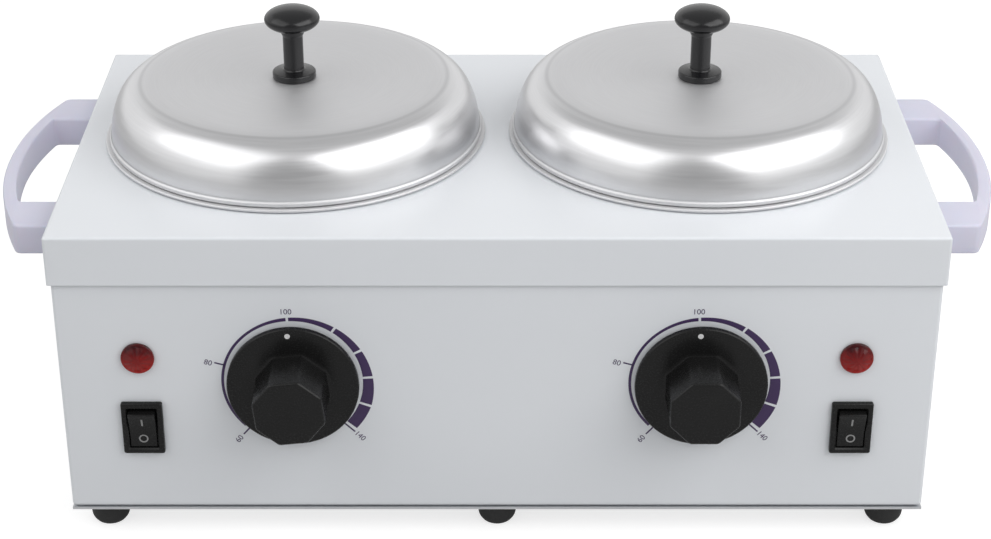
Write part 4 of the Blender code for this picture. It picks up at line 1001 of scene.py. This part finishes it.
# %% Lid knobs
KNOB_RADIUS = 10.4 * MM
KNOB_HALF_THICKNESS = 4.7 * MM
KNOB_STEM = 3.8 * MM
KNOB_FLANGE_RADIUS = 8.2 * MM
KNOB_FLANGE = 2.4 * MM
KNOB_FLANGE_RISE = 0.5 * MM
KNOB_BORE = 2.0 * MM
KNOB_BORE_DEPTH = 8.3 * MM
KNOB_HEAD_START = -62
KNOB_COLLAR = 0.5 * MM
KNOB_COLLAR_FOOT = 2 * MM
KNOB_COLLAR_HEAD = 1 * MM
KNOB_FILLETS = (0, 0, 0.2, 0.2, 0.6, 0.8, 1.0, 0.5, 0)


def knob_profile(height):
    """From the top of the blind bore, out under the flange, up the stem, round the head to its top."""
    head_z = height - KNOB_HALF_THICKNESS
    lean = np.radians(np.linspace(KNOB_HEAD_START, 90, 40))
    head = np.stack([KNOB_RADIUS * np.cos(lean), head_z + KNOB_HALF_THICKNESS * np.sin(lean)], axis=1)
    under = head_z - KNOB_HALF_THICKNESS
    stem = rounded(
        [(0, KNOB_BORE_DEPTH), (KNOB_BORE, KNOB_BORE_DEPTH), (KNOB_BORE, 0), (KNOB_FLANGE_RADIUS, 0),
         (KNOB_FLANGE_RADIUS, KNOB_FLANGE), (KNOB_STEM, KNOB_FLANGE + KNOB_FLANGE_RISE),
         (KNOB_STEM, under - KNOB_COLLAR_FOOT), (KNOB_STEM + KNOB_COLLAR, under - KNOB_COLLAR_HEAD),
         tuple(head[0])],
        np.array(KNOB_FILLETS) * MM, 6,
    )
    return np.concatenate([stem[:-1], head])


for side_name in SIDE_NAMES:
    low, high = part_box(f"lid_knob_{side_name}")
    axis = middle(f"lid_knob_{side_name}") * (1, 1, 0) + (0, 0, low.z)
    made = skin(turned(knob_profile(high.z - low.z), 96, centre=axis))
    knob = add_mesh(f"mushroom_knob_{side_name}", made)
    dress(knob, BLACK_KNOB, "black_plastic", f"lid_{side_name}", f"lid_knob_{side_name}")

# %% [markdown]
# ## The dials
# A dial is a round skirt with an eight-sided grip on it, moulded in one. Its skin is a polar
# grid: each row has a radius that depends on the angle. For the grip the radius is a smooth
# octagon: the inverse of a high-power mean of the eight directions, which is flat along each
# side and a little rounded at the corners. The back holds the blind bore for the shaft.

# %% Dials
DIAL_GAP = 1.8 * MM
DIAL_SKIRT = 2.4 * MM
DIAL_BEVEL = 0.8 * MM
GRIP_BASE = 12.7 * MM
GRIP_FACE = 12.4 * MM
GRIP_EDGE = 0.9 * MM
GRIP_ROOT_RADIUS = GRIP_BASE * 1.16
GRIP_FILLET_OUT = (0.5 * MM, 0.15 * MM)
GRIP_FILLET_UP = (0.0, 0.12 * MM, 0.5 * MM)
FACE_SHARES = (0.7, 0.35, 0.0)
DIAL_BACK_EDGE = 0.3 * MM
GRIP_POWER = 60
SHAFT_BORE = 3.3 * MM
SHAFT_BORE_END = 15.1 * MM
DIAL_TURNS = {"left": math.radians(-6), "right": 0.0}
DIAL_COLUMNS = 192


def octagon(angle):
    """Radius of a rounded octagon whose sides lie at 1 from its middle: the sum over four axes of
    |cosine of the angle to the axis|^power, to the power of -1/power."""
    axes = np.arange(4)[:, None] * math.pi / 4
    return np.sum(np.abs(np.cos(angle - axes)) ** GRIP_POWER, axis=0) ** (-1 / GRIP_POWER)


def dial_skin(centre, radius, reach, turn):
    """Bore, back, skirt and grip as one polar grid. Round rows have one radius, and the grip's
    rows have the octagon's, less what its rounded front edge takes off."""
    skirt_top = DIAL_GAP + DIAL_SKIRT
    back = rounded(
        [(0, SHAFT_BORE_END), (SHAFT_BORE, SHAFT_BORE_END), (SHAFT_BORE, DIAL_GAP), (radius, DIAL_GAP),
         (radius, skirt_top), (GRIP_ROOT_RADIUS, skirt_top)],
        [0, 0, 0, DIAL_BACK_EDGE, DIAL_BEVEL, 0], 6,
    )
    lean = np.linspace(0, math.pi / 2, 7)
    side = np.linspace(GRIP_BASE, GRIP_FACE, 2)
    fillet = GRIP_BASE + np.array(GRIP_FILLET_OUT)
    grip_radius = np.concatenate([fillet, side, GRIP_FACE - GRIP_EDGE * (1 - np.cos(lean[1:]))])
    edge_foot = reach - GRIP_EDGE
    grip_height = np.concatenate([
        skirt_top + np.array(GRIP_FILLET_UP), [edge_foot], edge_foot + GRIP_EDGE * np.sin(lean[1:]),
    ])
    grip_radius = np.concatenate([grip_radius, grip_radius[-1] * np.array(FACE_SHARES)])
    grip_height = np.concatenate([grip_height, np.full(len(FACE_SHARES), reach)])
    angle = ring(DIAL_COLUMNS)
    rows = np.concatenate([
        np.repeat(back[:, :1], DIAL_COLUMNS, axis=1), grip_radius[:, None] * octagon(angle),
    ])
    height = np.concatenate([back[:, 1], grip_height])[:, None]
    grid = polar(rows, angle - turn, height)
    return skin(patch(place(grid, centre, "front"), round_columns=True))


for side_name in SIDE_NAMES:
    low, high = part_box(f"dial_knob_{side_name}")
    centre = at_front(f"dial_knob_{side_name}")
    made = dial_skin(centre, (high.z - low.z) / 2, FRONT_Y - low.y, DIAL_TURNS[side_name])
    dial = add_mesh(f"dial_{side_name}", made, 25)
    dress(dial, BLACK_PLASTIC, "black_plastic", f"dial_{side_name}", f"dial_knob_{side_name}")

# %% [markdown]
# ## Print: the scales, the pointer dots and the switch marks
# Ink is a real layer, about a twentieth of a millimetre thick, so each mark is a thin solid a
# hair in front of what it is printed on. A scale is a ring that grows wider clockwise, broken by
# gaps, with short radial ticks. Its figures are plain numbers, which start as text. The dot on a
# dial rides on the dial. The bar and the ring on a rocker are made with the rocker further down.

# %% Flat marks
INK = 0.05 * MM
INK_GAP = 0.01 * MM


def ink_piece(name, grids):
    """Thin solids from flat grids that already lie where they are printed."""
    made = [skin(patch(grid), closed=False) for grid in grids]
    return wall(add_mesh(name, joined(*made)), INK)


def on_panel(x, z, centre, lift=INK + INK_GAP):
    """A flat grid on the front panel, its outer face at a small lift."""
    return np.stack([x + centre[0], 0 * x + FRONT_Y - lift, z + centre[2]], axis=-1)


def clock(angle, radius):
    """Place at a radius and at an angle in degrees clockwise from the top."""
    return radius * np.sin(np.radians(angle)), radius * np.cos(np.radians(angle))


# %% Scales
SCALE_RADIUS = 25.0 * MM
SCALE_START, SCALE_END = -135.0, 131.0
SCALE_GAPS = (-3.0, 35.0, 62.0, 86.0, 110.0)
SCALE_GAP_WIDTH = 2.0
SCALE_THIN = 1.0 * MM
SCALE_WIDE = 4.5 * MM
SCALE_GROWTH_START = -40.0
SCALE_GROWTH_SPAN = 150.0
SCALE_GROWTH_POWER = 1.6
TICK_WIDTH = 0.55 * MM
FIGURE_HEIGHT = 2.1 * MM
CAPITAL_SHARE = 0.7
# A tick has its angle in degrees, and its inner and outer radius in millimetres.
TICKS = ((-139, 24.6, 29.0), (-74, 25.4, 29.2), (134, 24.6, 30.0))
# A figure has the angle and radius of its middle, its lean in degrees, and its number.
FIGURES = (
    (-139, 31.6, 49, "60"), (-75, 31.4, -16, "80"), (-3, 28.8, 0, "100"), (134, 32.8, -44, "140"),
)


def scale_width(angle):
    """Width of the ring: thin at first, then growing with a power of the share of its way."""
    share = np.clip((angle - SCALE_GROWTH_START) / SCALE_GROWTH_SPAN, 0, 1)
    return SCALE_THIN + (SCALE_WIDE - SCALE_THIN) * share ** SCALE_GROWTH_POWER


def scale_grids(centre):
    """The ring's stretches between its gaps, and its ticks."""
    ends = [SCALE_START, *SCALE_GAPS, SCALE_END]
    grids = []
    for start, end in zip(ends, ends[1:]):
        first = start + (SCALE_GAP_WIDTH / 2 if start in SCALE_GAPS else 0)
        last = end - (SCALE_GAP_WIDTH / 2 if end in SCALE_GAPS else 0)
        angle = np.linspace(first, last, 2 + int((last - first) / 2))
        radius = SCALE_RADIUS + np.array((0.0, 1.0))[:, None] * scale_width(angle)
        x, z = clock(angle, radius)
        grids.append(on_panel(x, z, centre))
    for tick, inner, outer in TICKS:
        along = np.array((inner, outer))[:, None] * MM
        across = np.array((-1, 1)) * TICK_WIDTH / 2
        x0, z0 = clock(tick, along)
        dx, dz = clock(tick + 90, across)
        grids.append(on_panel(x0 + dx, z0 + dz, centre))
    return grids


def figure(name, text, centre, height, turn):
    """A number made as text, turned into a mesh, leant by a turn in degrees, and stood on the
    front panel round its middle."""
    curve = bpy.data.curves.new(name, "FONT")
    curve.body = text
    curve.size = height / CAPITAL_SHARE
    curve.extrude = INK / 2
    curve.align_x = "CENTER"
    holder = bpy.data.objects.new(name, curve)
    bpy.context.scene.collection.objects.link(holder)
    graph = bpy.context.evaluated_depsgraph_get()
    mesh = bpy.data.meshes.new_from_object(holder.evaluated_get(graph))
    bpy.data.objects.remove(holder, do_unlink=True)
    points = np.empty(3 * len(mesh.vertices))
    mesh.vertices.foreach_get("co", points)
    points = points.reshape(-1, 3)
    points -= (points.min(axis=0) + points.max(axis=0)) / 2
    cosine, sine = math.cos(math.radians(turn)), math.sin(math.radians(turn))
    points[:, :2] = points[:, :2] @ np.array(((cosine, sine), (-sine, cosine)))
    mesh.vertices.foreach_set("co", place(points, centre, "front").ravel())
    mesh.update()
    piece = bpy.data.objects.new(name, mesh)
    bpy.context.scene.collection.objects.link(piece)
    return piece


for side_name in SIDE_NAMES:
    centre = at_front(f"dial_knob_{side_name}")
    scale = ink_piece(f"printed_scale_{side_name}", scale_grids(centre))
    dress(scale, SCALE_INK, "black_plastic", "housing")
    for angle, radius, turn, text in FIGURES:
        x, z = clock(angle, radius * MM)
        spot = centre + np.array((x, -INK_GAP - INK / 2, z))
        number = figure(f"figure_{text}_{side_name}", text, spot, FIGURE_HEIGHT, turn)
        dress(number, SCALE_INK, "black_plastic", "housing")

# %% Pointer dots
DOT_RADIUS = 1.0 * MM
DOT_PLACE = 21.1 * MM
DOT_TURN = -3


def disc(radius, rings=3, columns=32):
    """A flat disc as a polar grid, with its middle as a pole."""
    distance = np.linspace(radius, 0, rings)[:, None]
    angle = np.linspace(0, 2 * math.pi, columns + 1)
    return distance * np.cos(angle), distance * np.sin(angle)


dot_x, dot_z = disc(DOT_RADIUS)
lift = DIAL_GAP + DIAL_SKIRT + INK + INK_GAP
for side_name in SIDE_NAMES:
    centre = at_front(f"dial_knob_{side_name}")
    x, z = clock(DOT_TURN, DOT_PLACE)
    dot = ink_piece(f"pointer_dot_{side_name}", [on_panel(dot_x + x, dot_z + z, centre, lift)])
    dress(dot, WHITE_INK, "natural_nylon", f"dial_{side_name}")

# %% [markdown]
# ## The indicator lamps
# The lens is a low red dome with a smooth rim and a cut pattern inside it that scatters the
# neon's light. The dome's height carries a small zigzag round the axis, which makes real facets.

# %% Lamp lenses
LENS_RIM = 1.2 * MM
LENS_GAP = 0.3 * MM
LENS_NECK = 4.7 * MM
LENS_NECK_DEPTH = 6.0 * MM
LENS_FACETS = 12
LENS_FACET_DEPTH = 0.35 * MM
LENS_STEP = 0.35 * MM
LENS_DOME_SHARE = 0.86
LENS_DOME_ROWS = (0.82, 0.62, 0.42, 0.22, 0.0)
LENS_FILLETS = (0, 0.2, 0, 0.2, 0.4, 0)


def lens_skin(centre, radius, reach):
    """Neck, collar, rim and faceted dome as one polar grid. The dome falls with the square of the
    radius, and a zigzag of the angle lowers it most halfway out."""
    top = LENS_GAP + LENS_RIM + LENS_STEP
    neck = rounded(
        [(0, -LENS_NECK_DEPTH), (LENS_NECK, -LENS_NECK_DEPTH), (LENS_NECK, LENS_GAP), (radius, LENS_GAP),
         (radius, LENS_GAP + LENS_RIM), (LENS_DOME_SHARE * radius, top)],
        np.array(LENS_FILLETS) * MM, 5,
    )
    share = np.array(LENS_DOME_ROWS)[:, None]
    angle = ring(LENS_FACETS * 4)
    zigzag = np.abs((angle * LENS_FACETS / (2 * math.pi)) % 1 * 2 - 1)
    fall = 1 - (share / LENS_DOME_SHARE) ** 2
    dome = top + (reach - top) * fall - LENS_FACET_DEPTH * zigzag * share
    rows = np.concatenate([np.repeat(neck[:, :1], len(angle), axis=1), share * radius + 0 * angle])
    height = np.concatenate([np.repeat(neck[:, 1:], len(angle), axis=1), dome])
    return skin(patch(place(polar(rows, angle, height), centre, "front"), round_columns=True))


for side_name in SIDE_NAMES:
    low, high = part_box(f"lamp_lens_{side_name}")
    made = lens_skin(at_front(f"lamp_lens_{side_name}"), (high.x - low.x) / 2, FRONT_Y - low.y)
    lens = add_mesh(f"red_lens_{side_name}", made, 8)
    dress(lens, RED_LENS, "red_lens", "housing", f"lamp_lens_{side_name}")

# %% [markdown]
# ## The rocker switches
# A switch is a framed housing pushed through its window, with a rocker in its cavity. Housing
# and frame are a row of rounded rectangles, from the middle of the back, over the frame and down
# into the cavity. The rocker's side view is a low hollow curve, carried across its width.

# %% Switch housings
FRAME_THICKNESS = 2.0 * MM
FRAME_GAP = 0.3 * MM
FRAME_EDGE = 0.7 * MM
HOUSING_HALF = (6.5 * MM, 9.5 * MM)
HOUSING_BACK = 13.2 * MM
CAVITY_HALF = (5.2 * MM, 8.2 * MM)
CAVITY_DEPTH = 7.0 * MM
BLADE_HALF = (2.4 * MM, 0.4 * MM)
BLADE_SPACING = 7.0 * MM
BLADE_LENGTH = 7.0 * MM
BLADE_ROOT = 0.5 * MM
FRAME_SLOPE = 0.5 * MM
HOUSING_CORNER = 0.4 * MM
FRAME_CORNER = 0.8 * MM
SLOPE_CORNER = 0.6 * MM
CAVITY_CORNER = 0.3 * MM
BLADE_CORNER = 0.1 * MM


def stacked(rows, centre, steps=5):
    """Rounded rectangles along the way a piece faces: half width, half height, corner radius and
    height of each. The first and the last shrink to a point, so that the skin is closed."""
    half_x, half_y, radius, height = np.array(rows, float).T
    return patch(place(loops(half_x, half_y, radius, height, steps), centre, "front"), round_columns=True)


def housing_skin(centre, half):
    """Body, frame with its rounded edge and sloped inner edge, and cavity."""
    lean = np.linspace(0, math.pi / 2, 5)
    frame_front = FRAME_GAP + FRAME_THICKNESS
    rows = [
        (0, 0, 0, -HOUSING_BACK), (*HOUSING_HALF, HOUSING_CORNER, -HOUSING_BACK),
        (*HOUSING_HALF, HOUSING_CORNER, FRAME_GAP), (*half, FRAME_CORNER, FRAME_GAP),
    ]
    for angle in lean:
        inset = FRAME_EDGE * (1 - math.cos(angle))
        height = frame_front - FRAME_EDGE * (1 - math.sin(angle))
        rows.append((half[0] - inset, half[1] - inset, FRAME_CORNER, height))
    rows += [
        (CAVITY_HALF[0] + FRAME_SLOPE, CAVITY_HALF[1] + FRAME_SLOPE, SLOPE_CORNER, frame_front),
        (*CAVITY_HALF, CAVITY_CORNER, frame_front - FRAME_SLOPE),
        (*CAVITY_HALF, CAVITY_CORNER, -CAVITY_DEPTH), (0, 0, 0, -CAVITY_DEPTH),
    ]
    blades = []
    for end in (-1, 1):
        spot = centre + np.array((0, 0, end * BLADE_SPACING / 2))
        tip, root = -HOUSING_BACK - BLADE_LENGTH, -HOUSING_BACK + BLADE_ROOT
        blades.append(stacked(
            [(0, 0, 0, tip), (*BLADE_HALF, BLADE_CORNER, tip),
             (*BLADE_HALF, BLADE_CORNER, root), (0, 0, 0, root)], spot))
    return skin(stacked(rows, centre)), [skin(blade) for blade in blades]


for side_name in SIDE_NAMES:
    centre = at_front(f"switch_housing_{side_name}")
    half = extent(f"switch_housing_{side_name}")[[0, 2]] / 2
    shell, blades = housing_skin(centre, half)
    housing = add_mesh(f"switch_frame_{side_name}", joined(shell, *blades))
    dress(housing, BLACK_PLASTIC, "black_plastic", "housing", f"switch_housing_{side_name}")

# %% Rockers
ROCKER_HALF_WIDTH = 4.9 * MM
ROCKER_HALF_LENGTH = 7.5 * MM
ROCKER_END_RISE = 3.0 * MM
ROCKER_MIDDLE_RISE = 2.2 * MM
ROCKER_BACK = 2.0 * MM
ROCKER_EDGE = 0.35 * MM
ROCKER_CORNER = ROCKER_EDGE * 0.9
ROCKER_TILT = math.radians(10)


def rocker_front(up):
    """How far the rocker's face stands out: lowest at the pivot, rising with the square."""
    return ROCKER_MIDDLE_RISE + (ROCKER_END_RISE - ROCKER_MIDDLE_RISE) * (up / ROCKER_HALF_LENGTH) ** 2


def tilted(out, up, across, centre):
    """A point of the rocker, given outwards, upwards and across, after its tilt about X."""
    y = -out * math.cos(ROCKER_TILT) - up * math.sin(ROCKER_TILT)
    z = -out * math.sin(ROCKER_TILT) + up * math.cos(ROCKER_TILT)
    return np.stack([across + 0 * out, y, z], axis=-1) + centre


def rocker_skin(centre):
    """The side view carried across the width. Near each side it draws in along its own normal by
    the edge's radius times one less the cosine, so that the edge is round."""
    up = np.linspace(-1, 1, 25) * (ROCKER_HALF_LENGTH - ROCKER_EDGE)
    front = np.stack([rocker_front(up), up], axis=1)
    end_rise = rocker_front(ROCKER_HALF_LENGTH)
    ends = np.array([
        (end_rise, ROCKER_HALF_LENGTH), (-ROCKER_BACK, ROCKER_HALF_LENGTH),
        (-ROCKER_BACK, -ROCKER_HALF_LENGTH), (end_rise, -ROCKER_HALF_LENGTH),
    ])
    outline = np.concatenate([front, ends])
    radii = np.concatenate([np.zeros(len(front)), np.full(4, ROCKER_CORNER)])
    outline = rounded(outline, radii, 5, closed=True)
    way = np.roll(outline, -1, axis=0) - np.roll(outline, 1, axis=0)
    way /= np.linalg.norm(way, axis=1, keepdims=True)
    outward = np.stack([way[:, 1], -way[:, 0]], axis=1)
    lean = np.concatenate([np.linspace(-math.pi / 2, 0, 6), np.linspace(0, math.pi / 2, 6)])
    inset = ROCKER_EDGE * (1 - np.cos(lean))[:, None, None]
    across = np.sign(lean) * (ROCKER_HALF_WIDTH - ROCKER_EDGE) + ROCKER_EDGE * np.sin(lean)
    across[5:7] = np.array((-1, 1)) * (ROCKER_HALF_WIDTH - ROCKER_EDGE)
    rows = outline - inset * outward
    pole = rows[:1] * 0 + rows[0].mean(axis=0)
    rows = np.concatenate([pole, rows, pole])
    across = np.concatenate([across[:1], across, across[-1:]])[:, None]
    return skin(patch(tilted(rows[:, :, 0], rows[:, :, 1], across, centre), round_columns=True))


# %% [markdown]
# A rocker carries a bar for on, near its top, and a ring for off, near its foot. Both are ink
# that follows the face: each point gets the height that the face has there.

# %% Rocker marks
MARK_BAR = (0.32 * MM, 1.6 * MM)
MARK_BAR_UP = 3.6 * MM
MARK_RING = (1.2 * MM, 1.7 * MM)
MARK_RING_UP = -3.9 * MM


def mark_grids(centre):
    """The bar for on and the ring for off, laid on the rocker's curved face."""
    half_width, half_height = MARK_BAR
    across = np.array((-1.0, 1.0)) * half_width
    x, up = np.meshgrid(across, np.linspace(-1, 1, 7) * half_height + MARK_BAR_UP)
    angle = np.linspace(0, 2 * math.pi, 49)
    radius = np.linspace(*MARK_RING, 3)[:, None]
    ring_x, ring_up = radius * np.cos(angle), radius * np.sin(angle) + MARK_RING_UP
    lift = INK + INK_GAP
    return [
        tilted(rocker_front(up) + lift, up, x, centre),
        tilted(rocker_front(ring_up) + lift, ring_up, ring_x, centre)[::-1],
    ]


for side_name in SIDE_NAMES:
    centre = at_front(f"switch_rocker_{side_name}")
    centre[2] = middle(f"switch_housing_{side_name}")[2]
    rocker = add_mesh(f"rocker_key_{side_name}", rocker_skin(centre), 40)
    dress(rocker, BLACK_PLASTIC, "black_plastic", f"rocker_{side_name}", f"switch_rocker_{side_name}")
    marks = ink_piece(f"rocker_marks_{side_name}", mark_grids(centre))
    dress(marks, GREY_INK, "natural_nylon", f"rocker_{side_name}")

# %% [markdown]
# ## The cord gland
# The lead would enter at the back through this gland. The photograph doesn't show the back or
# any cord, so the gland is a plain one of its kind: a ribbed collar against the wall and a
# tapered mouth. Its ribs are a ripple of the radius round the axis.

# %% Cord gland
# Radius, height and rounding of each corner, in millimetres, as for a foot.
GLAND_PROFILE = (
    (4.0, -9.0, 0.3), (6.0, -9.0, 0.5), (6.0, 0.3, 0.0), (9.5, 0.3, 0.4), (9.5, 5.0, 0.8),
    (8.2, 5.0, 0.2), (8.2, 9.0, 1.5), (6.2, 13.0, 0.5), (4.0, 13.0, 0.8),
)
GLAND_RIBS = 24
GLAND_RIB_DEPTH = 0.25 * MM
GLAND_RIB_START = 9 * MM


def gland_skin(centre):
    """The closed profile turned about the way to the back. Where the radius is over that of the
    ribs' start, a ripple with a rib for each turn of the cosine lowers it."""
    profile = np.array(GLAND_PROFILE) * MM
    radius, height = rounded(profile[:, :2], profile[:, 2], 5, closed=True).T[:, :, None]
    angle = ring(GLAND_RIBS * 6)
    ripple = GLAND_RIB_DEPTH * (1 - np.cos(angle * GLAND_RIBS)) / 2
    radius = radius - np.where(radius > GLAND_RIB_START, ripple, 0)
    grid = place(polar(radius, angle, height), centre, "back")
    return skin(patch(grid, round_rows=True, round_columns=True))


gland = add_mesh("ribbed_gland", gland_skin(gland_centre))
dress(gland, BLACK_PLASTIC, "black_plastic", "housing", "cord_gland")

# %% [markdown]
# ## What stays as the CAD made it
# Screws, the bottom plate and what lies inside keep their CAD shapes, which are right as they
# are. They only get the finish of their material slot, read from the record.

# %% Finishes for the carried-over nodes
SLOT_FINISHES = {
    "white_enamel": WHITE_ENAMEL,
    "zinc_steel": ZINC,
    "lilac_plastic": LILAC_PLASTIC,
    "black_plastic": BLACK_PLASTIC,
    "black_rubber": BLACK_RUBBER,
    "red_lens": RED_LENS,
    "ceramic": CERAMIC,
    "mica_steel": MICA_STEEL,
    "copper": COPPER,
    "natural_nylon": NATURAL_NYLON,
    "black_sleeve": BLACK_SLEEVE,
    "white_sleeve": WHITE_SLEEVE,
    "satin_aluminium": bpy.data.materials["satin_aluminium_left"],
    "spun_aluminium": bpy.data.materials["spun_aluminium_left"],
}
node_slots = {entry["node"]: entry["material_slot"] for entry in frame["record"]["subparts"]}
for name, node in frame["nodes"].items():
    for place_for_finish in node.material_slots:
        place_for_finish.material = SLOT_FINISHES[node_slots[name]]
print("finished nodes:", len(frame["nodes"]))

# %% [markdown]
# ## The stage
# The floor is pale and plain. For the camera it shines a little by itself, so that it reads as
# white paper while it still keeps the object's shadow. The world is white where a camera or a
# mirror sees it, and lower where it lights the object. Two soft lamps stand in front and above,
# left and right, and leave their white stripes on the polished shoulders of the lids. In a white
# world polished metal would look like white paper, so two grey cards, one overhead and one
# behind the camera, give it something darker to show. Only mirrors see them.

# %% Sizes and tones of the stage
FLOOR_SIZE = 8.0
FLOOR_COLOUR = (0.50, 0.50, 0.50)
FLOOR_GLOW = 0.72
FLOOR_MIRROR_GLOW = 0.22
FLOOR_SEEN_COLOUR = (0.48, 0.48, 0.48)
SKY_LIGHT = 0.44
CEILING_TONE = 0.56
FRONT_CARD_TONE = 0.38
CEILING_HEIGHT = 2.4
CEILING_HALF_WIDTH = 2.2
CEILING_BACK = 3.0
FRONT_CARD_PLACE = -1.7
FRONT_CARD_FOOT_WIDTH = 1.0
FRONT_CARD_HEAD_WIDTH = 0.4
FRONT_CARD_FOOT = 0.1
# Azimuth and elevation in degrees, distance and sizes in metres, and power in watts.
SOFTBOXES = {
    "softbox_left": (-64, 46, 1.5, (1.6, 1.15), 6.6),
    "softbox_right": (60, 44, 1.2, (1.4, 0.9), 8.8),
}
print("floor in metres:", FLOOR_SIZE, "soft lamps:", len(SOFTBOXES))


# %% Floor
def bare_material(name):
    """A material that has an output and nothing else."""
    material = bpy.data.materials.new(name)
    material.use_nodes = True
    material.node_tree.nodes.clear()
    return material, material.node_tree, add_node(material.node_tree, "ShaderNodeOutputMaterial")


def seen_ray(tree):
    """One for rays from the camera, from a mirror or through glass, and zero for the others."""
    path = add_node(tree, "ShaderNodeLightPath")
    first = maths(tree, "MAXIMUM", path.outputs["Is Camera Ray"], path.outputs["Is Glossy Ray"])
    return maths(tree, "MAXIMUM", first, path.outputs["Is Transmission Ray"])


def floor_material():
    """Pale matt floor: plain for the light that it throws back, glowing where the camera sees it,
    and glowing less where it shows in metal or plastic."""
    material, tree, end = bare_material("studio_floor")
    plain = add_node(tree, "ShaderNodeBsdfDiffuse", color=(*FLOOR_COLOUR, 1))
    seen = add_node(tree, "ShaderNodeBsdfDiffuse", color=(*FLOOR_SEEN_COLOUR, 1))
    glow = add_node(tree, "ShaderNodeEmission", color=(1, 1, 1, 1), strength=FLOOR_GLOW)
    both = add_node(tree, "ShaderNodeAddShader")
    mix = add_node(tree, "ShaderNodeMixShader")
    tree.links.new(seen.outputs[0], both.inputs[0])
    tree.links.new(glow.outputs[0], both.inputs[1])
    path = add_node(tree, "ShaderNodeLightPath")
    strength = spread(tree, path.outputs["Is Camera Ray"], FLOOR_MIRROR_GLOW, FLOOR_GLOW)
    tree.links.new(strength, glow.inputs["Strength"])
    tree.links.new(seen_ray(tree), mix.inputs[0])
    tree.links.new(plain.outputs[0], mix.inputs[1])
    tree.links.new(both.outputs[0], mix.inputs[2])
    tree.links.new(mix.outputs[0], end.inputs["Surface"])
    return material


def add_floor():
    """A level sheet as wide as the studio, at the height that the feet stand on."""
    reach = np.array((-1.0, 1.0)) * FLOOR_SIZE / 2
    x, y = np.meshgrid(reach, reach)
    grid = np.stack([x, y, 0 * x], axis=-1)
    floor = add_mesh("studio_floor", skin(patch(grid), closed=False))
    floor.data.materials.append(floor_material())
    print("floor reaches", FLOOR_SIZE / 2, "m each way")


add_floor()


# %% World and lamps
def add_world():
    """White where it is seen, and SKY_LIGHT where it only lights."""
    world = bpy.data.worlds.new("studio")
    bpy.context.scene.world = world
    world.use_nodes = True
    tree = world.node_tree
    sky = tree.nodes["Background"]
    sky.inputs["Color"].default_value = (1, 1, 1, 1)
    strength = spread(tree, seen_ray(tree), SKY_LIGHT, 1.0)
    tree.links.new(strength, sky.inputs["Strength"])


def add_softbox(name, azimuth, elevation, distance, size, power):
    """A soft lamp with straight sides that looks at the object from an azimuth and an elevation."""
    data = bpy.data.lights.new(name, "AREA")
    data.shape = "RECTANGLE"
    data.size, data.size_y = size
    data.energy = power
    lamp = bpy.data.objects.new(name, data)
    turn, lift = math.radians(azimuth), math.radians(elevation)
    away = (math.sin(turn) * math.cos(lift), -math.cos(turn) * math.cos(lift), math.sin(lift))
    lamp.location = [distance * value for value in away]
    lamp.rotation_euler = (math.pi / 2 - lift, 0, turn)
    bpy.context.scene.collection.objects.link(lamp)
    print(name, "at", np.round(lamp.location, 2).tolist())


add_world()
for name, values in SOFTBOXES.items():
    add_softbox(name, *values)
bpy.context.scene.view_settings.view_transform = "Standard"


# %% Cards
def add_card(name, tone, corners):
    """A grey studio card that only mirrors see. It casts no shadow and takes no light away."""
    grid = np.array(corners, float).reshape(2, 2, 3)
    card = add_mesh(name, skin(patch(grid), closed=False))
    material, tree, end = bare_material(name)
    glow = add_node(tree, "ShaderNodeEmission", color=(1, 1, 1, 1), strength=tone)
    tree.links.new(glow.outputs[0], end.inputs["Surface"])
    card.data.materials.append(material)
    card.visible_camera = card.visible_diffuse = card.visible_shadow = False
    print(name, "tone", tone)


wide, back = CEILING_HALF_WIDTH, CEILING_BACK
front, high, foot = FRONT_CARD_PLACE, CEILING_HEIGHT, FRONT_CARD_FOOT
low_half, high_half = FRONT_CARD_FOOT_WIDTH, FRONT_CARD_HEAD_WIDTH
ceiling = [(-wide, front, high), (wide, front, high), (-wide, back, high), (wide, back, high)]
add_card("card_overhead", CEILING_TONE, ceiling)
front_foot = [(-low_half, front, foot), (low_half, front, foot)]
front_head = [(-high_half, front, high), (high_half, front, high)]
add_card("card_in_front", FRONT_CARD_TONE, front_foot + front_head)

# %% [markdown]
# ## The end
# The last cell only imports json.

# %% Import json
import json
